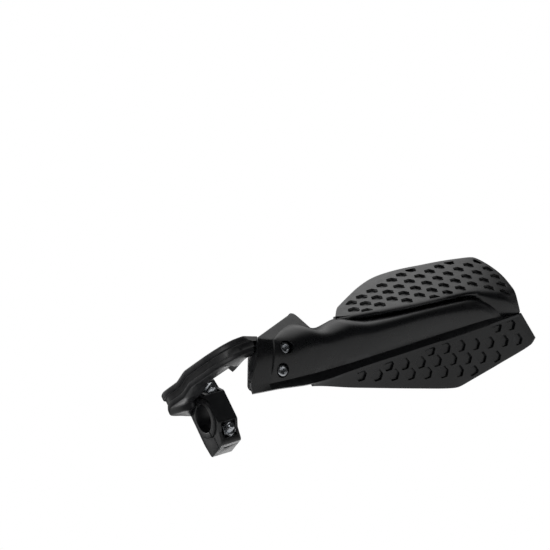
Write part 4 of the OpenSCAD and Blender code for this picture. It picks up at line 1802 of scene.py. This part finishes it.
class BracketArm:
    """The arm with its end plate, the fixed half of the clamp and that half's ring."""

    PLATE = ((-28.6, -4.5, 4), (-16.5, -36.5, 4), (10, -36.5, 5), (10, -4.5, 5))
    PLATE_T = 9.0
    NUT_DEPTH = 4.0
    NUT_FLATS = 8.3
    HEAD_SEAT_R = 5.4

    def __init__(self, clamp: ClampForm, arm: ArmForm, mat: Material) -> None:
        """Keeps the sizes and the material."""
        self.clamp = clamp
        self.arm = arm
        self.mat = mat

    def run(self) -> Piece:
        """Builds the curved arm as one loft of its section.

        Returns:
            The new object.
        """
        stations = smooth_line(self.arm.run, 6)
        rings = [self.arm.section(s) for s in stations]
        faces = loft_faces(len(rings), len(rings[0]))
        return outward(make_object("arm_run", np.concatenate(rings), faces, self.mat))

    def plate(self) -> Piece:
        """Builds the end plate that the shell is screwed to.

        Returns:
            The new object.
        """
        body = prism("end_plate", fillet(self.PLATE), SEAT_GAP, self.PLATE_T, pad_frame(), self.mat)
        hole = circle(Shell.HOLE_R, steps=48)
        nut = circle(self.NUT_FLATS / 2 / math.cos(math.pi / 6), steps=6)
        tools = []
        for at in (pad_matrix(-1), pad_matrix(1)):
            tools.append(prism("screw_hole", hole, -10, 30, at, self.mat))
            turned = at @ Matrix.Rotation(math.radians(30), 4, "Z")
            tools.append(prism("nut_pocket", nut, self.PLATE_T - self.NUT_DEPTH, 30, turned, self.mat))
        carve(body, tools)
        soften(body, width_mm=0.7, angle_deg=32)
        return body

    def fixed_half(self) -> Piece:
        """Builds the fixed half of the clamp.

        Returns:
            The new object.
        """
        f = self.clamp
        corners = [(f.split, -f.lug_z, 0), (f.rear_y - 2.2, -f.lug_z, 3), (f.rear_y, -f.lug_z + 12, 8)]
        corners += [(f.rear_y, f.lug_z, 3), (f.split, f.lug_z, 0)]
        body = prism("fixed_half", fillet(corners), -f.width / 2, f.width / 2, SIDE_VIEW, self.mat)
        tools = f.drills(self.mat)
        seat = circle(self.HEAD_SEAT_R)
        for s in (-1, 1):
            tools.append(prism("head_seat", seat, Hardware.HEAD_Y, 40, bolt_matrix(s), self.mat))
        low, high = -f.lug_z - 1, -f.lug_z + 3
        slot = np.array([(-1.0, low), (2.0, low), (2.0, high), (-1.0, high)])
        tools.append(prism("pry_slot", slot, -4, 1, SIDE_VIEW, self.mat))
        carve(body, tools)
        soften(body, width_mm=0.5, angle_deg=32)
        return body

    def build(self) -> Piece:
        """Builds the whole bracket arm.

        Returns:
            The new object.
        """
        parts = [self.run(), self.plate(), self.fixed_half(), self.clamp.half_ring(1, self.mat)]
        arm = join("bracket_arm_skin", parts)
        shade(arm, angle_deg=35)
        return arm


# The studio


@dataclass(frozen=True)
class SoftLight:
    """A soft rectangular light.

    Attributes:
        name: Its name.
        place: Where it is from the object's middle, in metres: to the camera's right, up, and towards it.
        size: Its width and height in metres.
        power: Watts.
    """

    name: str
    place: tuple[float, float, float]
    size: tuple[float, float]
    power: float

    def build(self, studio: "Studio") -> None:
        """Adds the light.

        Args:
            studio: The studio that it stands in.
        """
        right, up, near = self.place
        at = studio.MIDDLE + studio.RIGHT * right + studio.UP * up + studio.back() * near
        data = bpy.data.lights.new(self.name, "AREA")
        data.shape = "RECTANGLE"
        data.size, data.size_y = self.size
        data.energy = self.power
        obj = bpy.data.objects.new(self.name, data)
        obj.location = at
        obj.rotation_euler = (studio.MIDDLE - at).to_track_quat("-Z", "Y").to_euler()
        bpy.context.scene.collection.objects.link(obj)


class Studio:
    """Camera, backdrop, floor and lights."""

    CAMERA = Vector((-0.455149, -0.789602, -0.287859))
    RIGHT = Vector((0.821232, -0.375929, -0.429249))
    UP = Vector((0.181713, -0.540811, 0.821282))
    MIDDLE = Vector((0.106, -0.06, 0.0))
    LENS_MM = 80.898
    SENSOR_MM = 36
    CLIP = (0.01, 50)
    FLOOR_MM = -460.0
    FLOOR_HALF_MM = 1200.0
    FLOOR_CELLS = 24
    # Height of the ray, from -1 straight down to 1 straight up, and how bright the room is there.
    ROOM = ((-0.4, 0.04), (0.0, 0.02), (0.45, 0.02), (0.62, 0.1), (0.78, 0.6), (0.87, 0.9), (1.0, 1.05))
    LIGHTS = (
        SoftLight("key", (0.2, 0.95, -0.8), (0.9, 0.5), 0.6),
        SoftLight("front", (-1.1, 0.0, 0.5), (0.3, 0.6), 1.4),
        SoftLight("rim", (1.1, 0.4, -0.4), (0.3, 0.8), 0.6),
        SoftLight("left", (-1.1, -0.27, -0.45), (0.5, 0.6), 0.8),
        SoftLight("wash", (-1.0, 0.35, -1.0), (0.8, 0.8), 7.0),
        SoftLight("low", (0.18, -0.54, -0.7), (0.5, 0.25), 0.9),
    )

    def back(self) -> Vector:
        """Direction from the object towards the camera."""
        return self.RIGHT.cross(self.UP).normalized()

    def camera(self) -> None:
        """Adds the camera at the photograph's place."""
        data = bpy.data.cameras.new("camera")
        data.lens = self.LENS_MM
        data.sensor_width = self.SENSOR_MM
        data.clip_start, data.clip_end = self.CLIP
        obj = bpy.data.objects.new("camera", data)
        turn = Matrix((self.RIGHT, self.UP, self.back())).transposed().to_4x4()
        obj.matrix_world = Matrix.Translation(self.CAMERA) @ turn
        bpy.context.scene.collection.objects.link(obj)
        bpy.context.scene.camera = obj

    def world(self) -> None:
        """Sets a white backdrop for the camera, and a room that is bright overhead for the part."""
        world = bpy.data.worlds.new("studio")
        world.use_nodes = True
        tree = world.node_tree
        tree.nodes.clear()
        ray = add_node(tree, "ShaderNodeTexCoord")
        parts = add_node(tree, "ShaderNodeSeparateXYZ", None, {"Vector": ray.outputs["Generated"]})
        half = {"operation": "MULTIPLY_ADD", 1: 0.5, 2: 0.5}
        height = add_node(tree, "ShaderNodeMath", half, {0: parts.outputs["Z"]})
        ramp = add_node(tree, "ShaderNodeValToRGB", None, {"Fac": height.outputs[0]})
        peak = max(level for _, level in self.ROOM)
        stops = ramp.color_ramp.elements
        while len(stops) < len(self.ROOM):
            stops.new(0.5)
        for stop, (z, level) in zip(stops, self.ROOM):
            stop.position = (z + 1) / 2
            stop.color = (level / peak,) * 3 + (1.0,)
        room = add_node(tree, "ShaderNodeBackground", {"Strength": peak}, {"Color": ramp.outputs["Color"]})
        white = add_node(tree, "ShaderNodeBackground", {"Color": (1, 1, 1, 1), "Strength": 1.0})
        path = add_node(tree, "ShaderNodeLightPath")
        seen = {"Fac": path.outputs["Is Camera Ray"]}
        seen |= {i: shown.outputs["Background"] for i, shown in ((1, room), (2, white))}
        mix = add_node(tree, "ShaderNodeMixShader", None, seen)
        add_node(tree, "ShaderNodeOutputWorld", None, {"Surface": mix.outputs["Shader"]})
        bpy.context.scene.world = world

    def floor(self) -> Piece:
        """Adds the pale floor, well below the part.

        Returns:
            The floor's object.
        """
        n, half = self.FLOOR_CELLS, self.FLOOR_HALF_MM
        spots = np.linspace(-half, half, n + 1)
        verts = np.array([(x, y, self.FLOOR_MM) for x in spots for y in spots])
        first = [i * (n + 1) + j for i in range(n) for j in range(n)]
        faces = [(a, a + n + 1, a + n + 2, a + 1) for a in first]
        return make_object("floor", verts, faces, FLOOR_CARD.material())

    def build(self) -> None:
        """Sets up the whole studio."""
        self.camera()
        self.world()
        self.floor()
        for light in self.LIGHTS:
            light.build(self)


class HandGuard:
    """The whole guard, as the CAD nodes name it."""

    def __init__(self) -> None:
        """Makes the materials."""
        self.shell_mat = SHELL_PLASTIC.material()
        self.bracket_mat = BRACKET_PLASTIC.material()
        self.steel_mat = ZINC_STEEL.material()

    def build(self) -> None:
        """Builds each sub-assembly, puts it under the root and hides the CAD node that it stands for."""
        clamp = ClampForm()
        self._keep(Shell(ShellForm(), self.shell_mat).build(), "shell", "shell_plastic")
        self._keep(BracketArm(clamp, ArmForm(), self.bracket_mat).build(), "bracket_arm", "bracket_plastic")
        self._keep(ClampCap(clamp, self.bracket_mat).build(), "clamp_cap", "bracket_plastic")
        for piece, node in Hardware(self.steel_mat).build():
            self._keep(piece, node, "bolt_steel")

    @staticmethod
    def _keep(piece: Piece, node: str, slot: str) -> None:
        """Ties a piece to the frame.

        Args:
            piece: The new piece.
            node: CAD node that it stands for.
            slot: Not used.
        """
        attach(piece, "root")
        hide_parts(node)
        LOG.info("%s stands for %s with %d faces", piece.name, node, len(piece.data.polygons))


def main() -> None:
    """Builds the looks, the camera and the studio."""
    HandGuard().build()
    Studio().build()
    bpy.context.scene.view_settings.view_transform = "Standard"


if __name__ == "__main__":
    main()
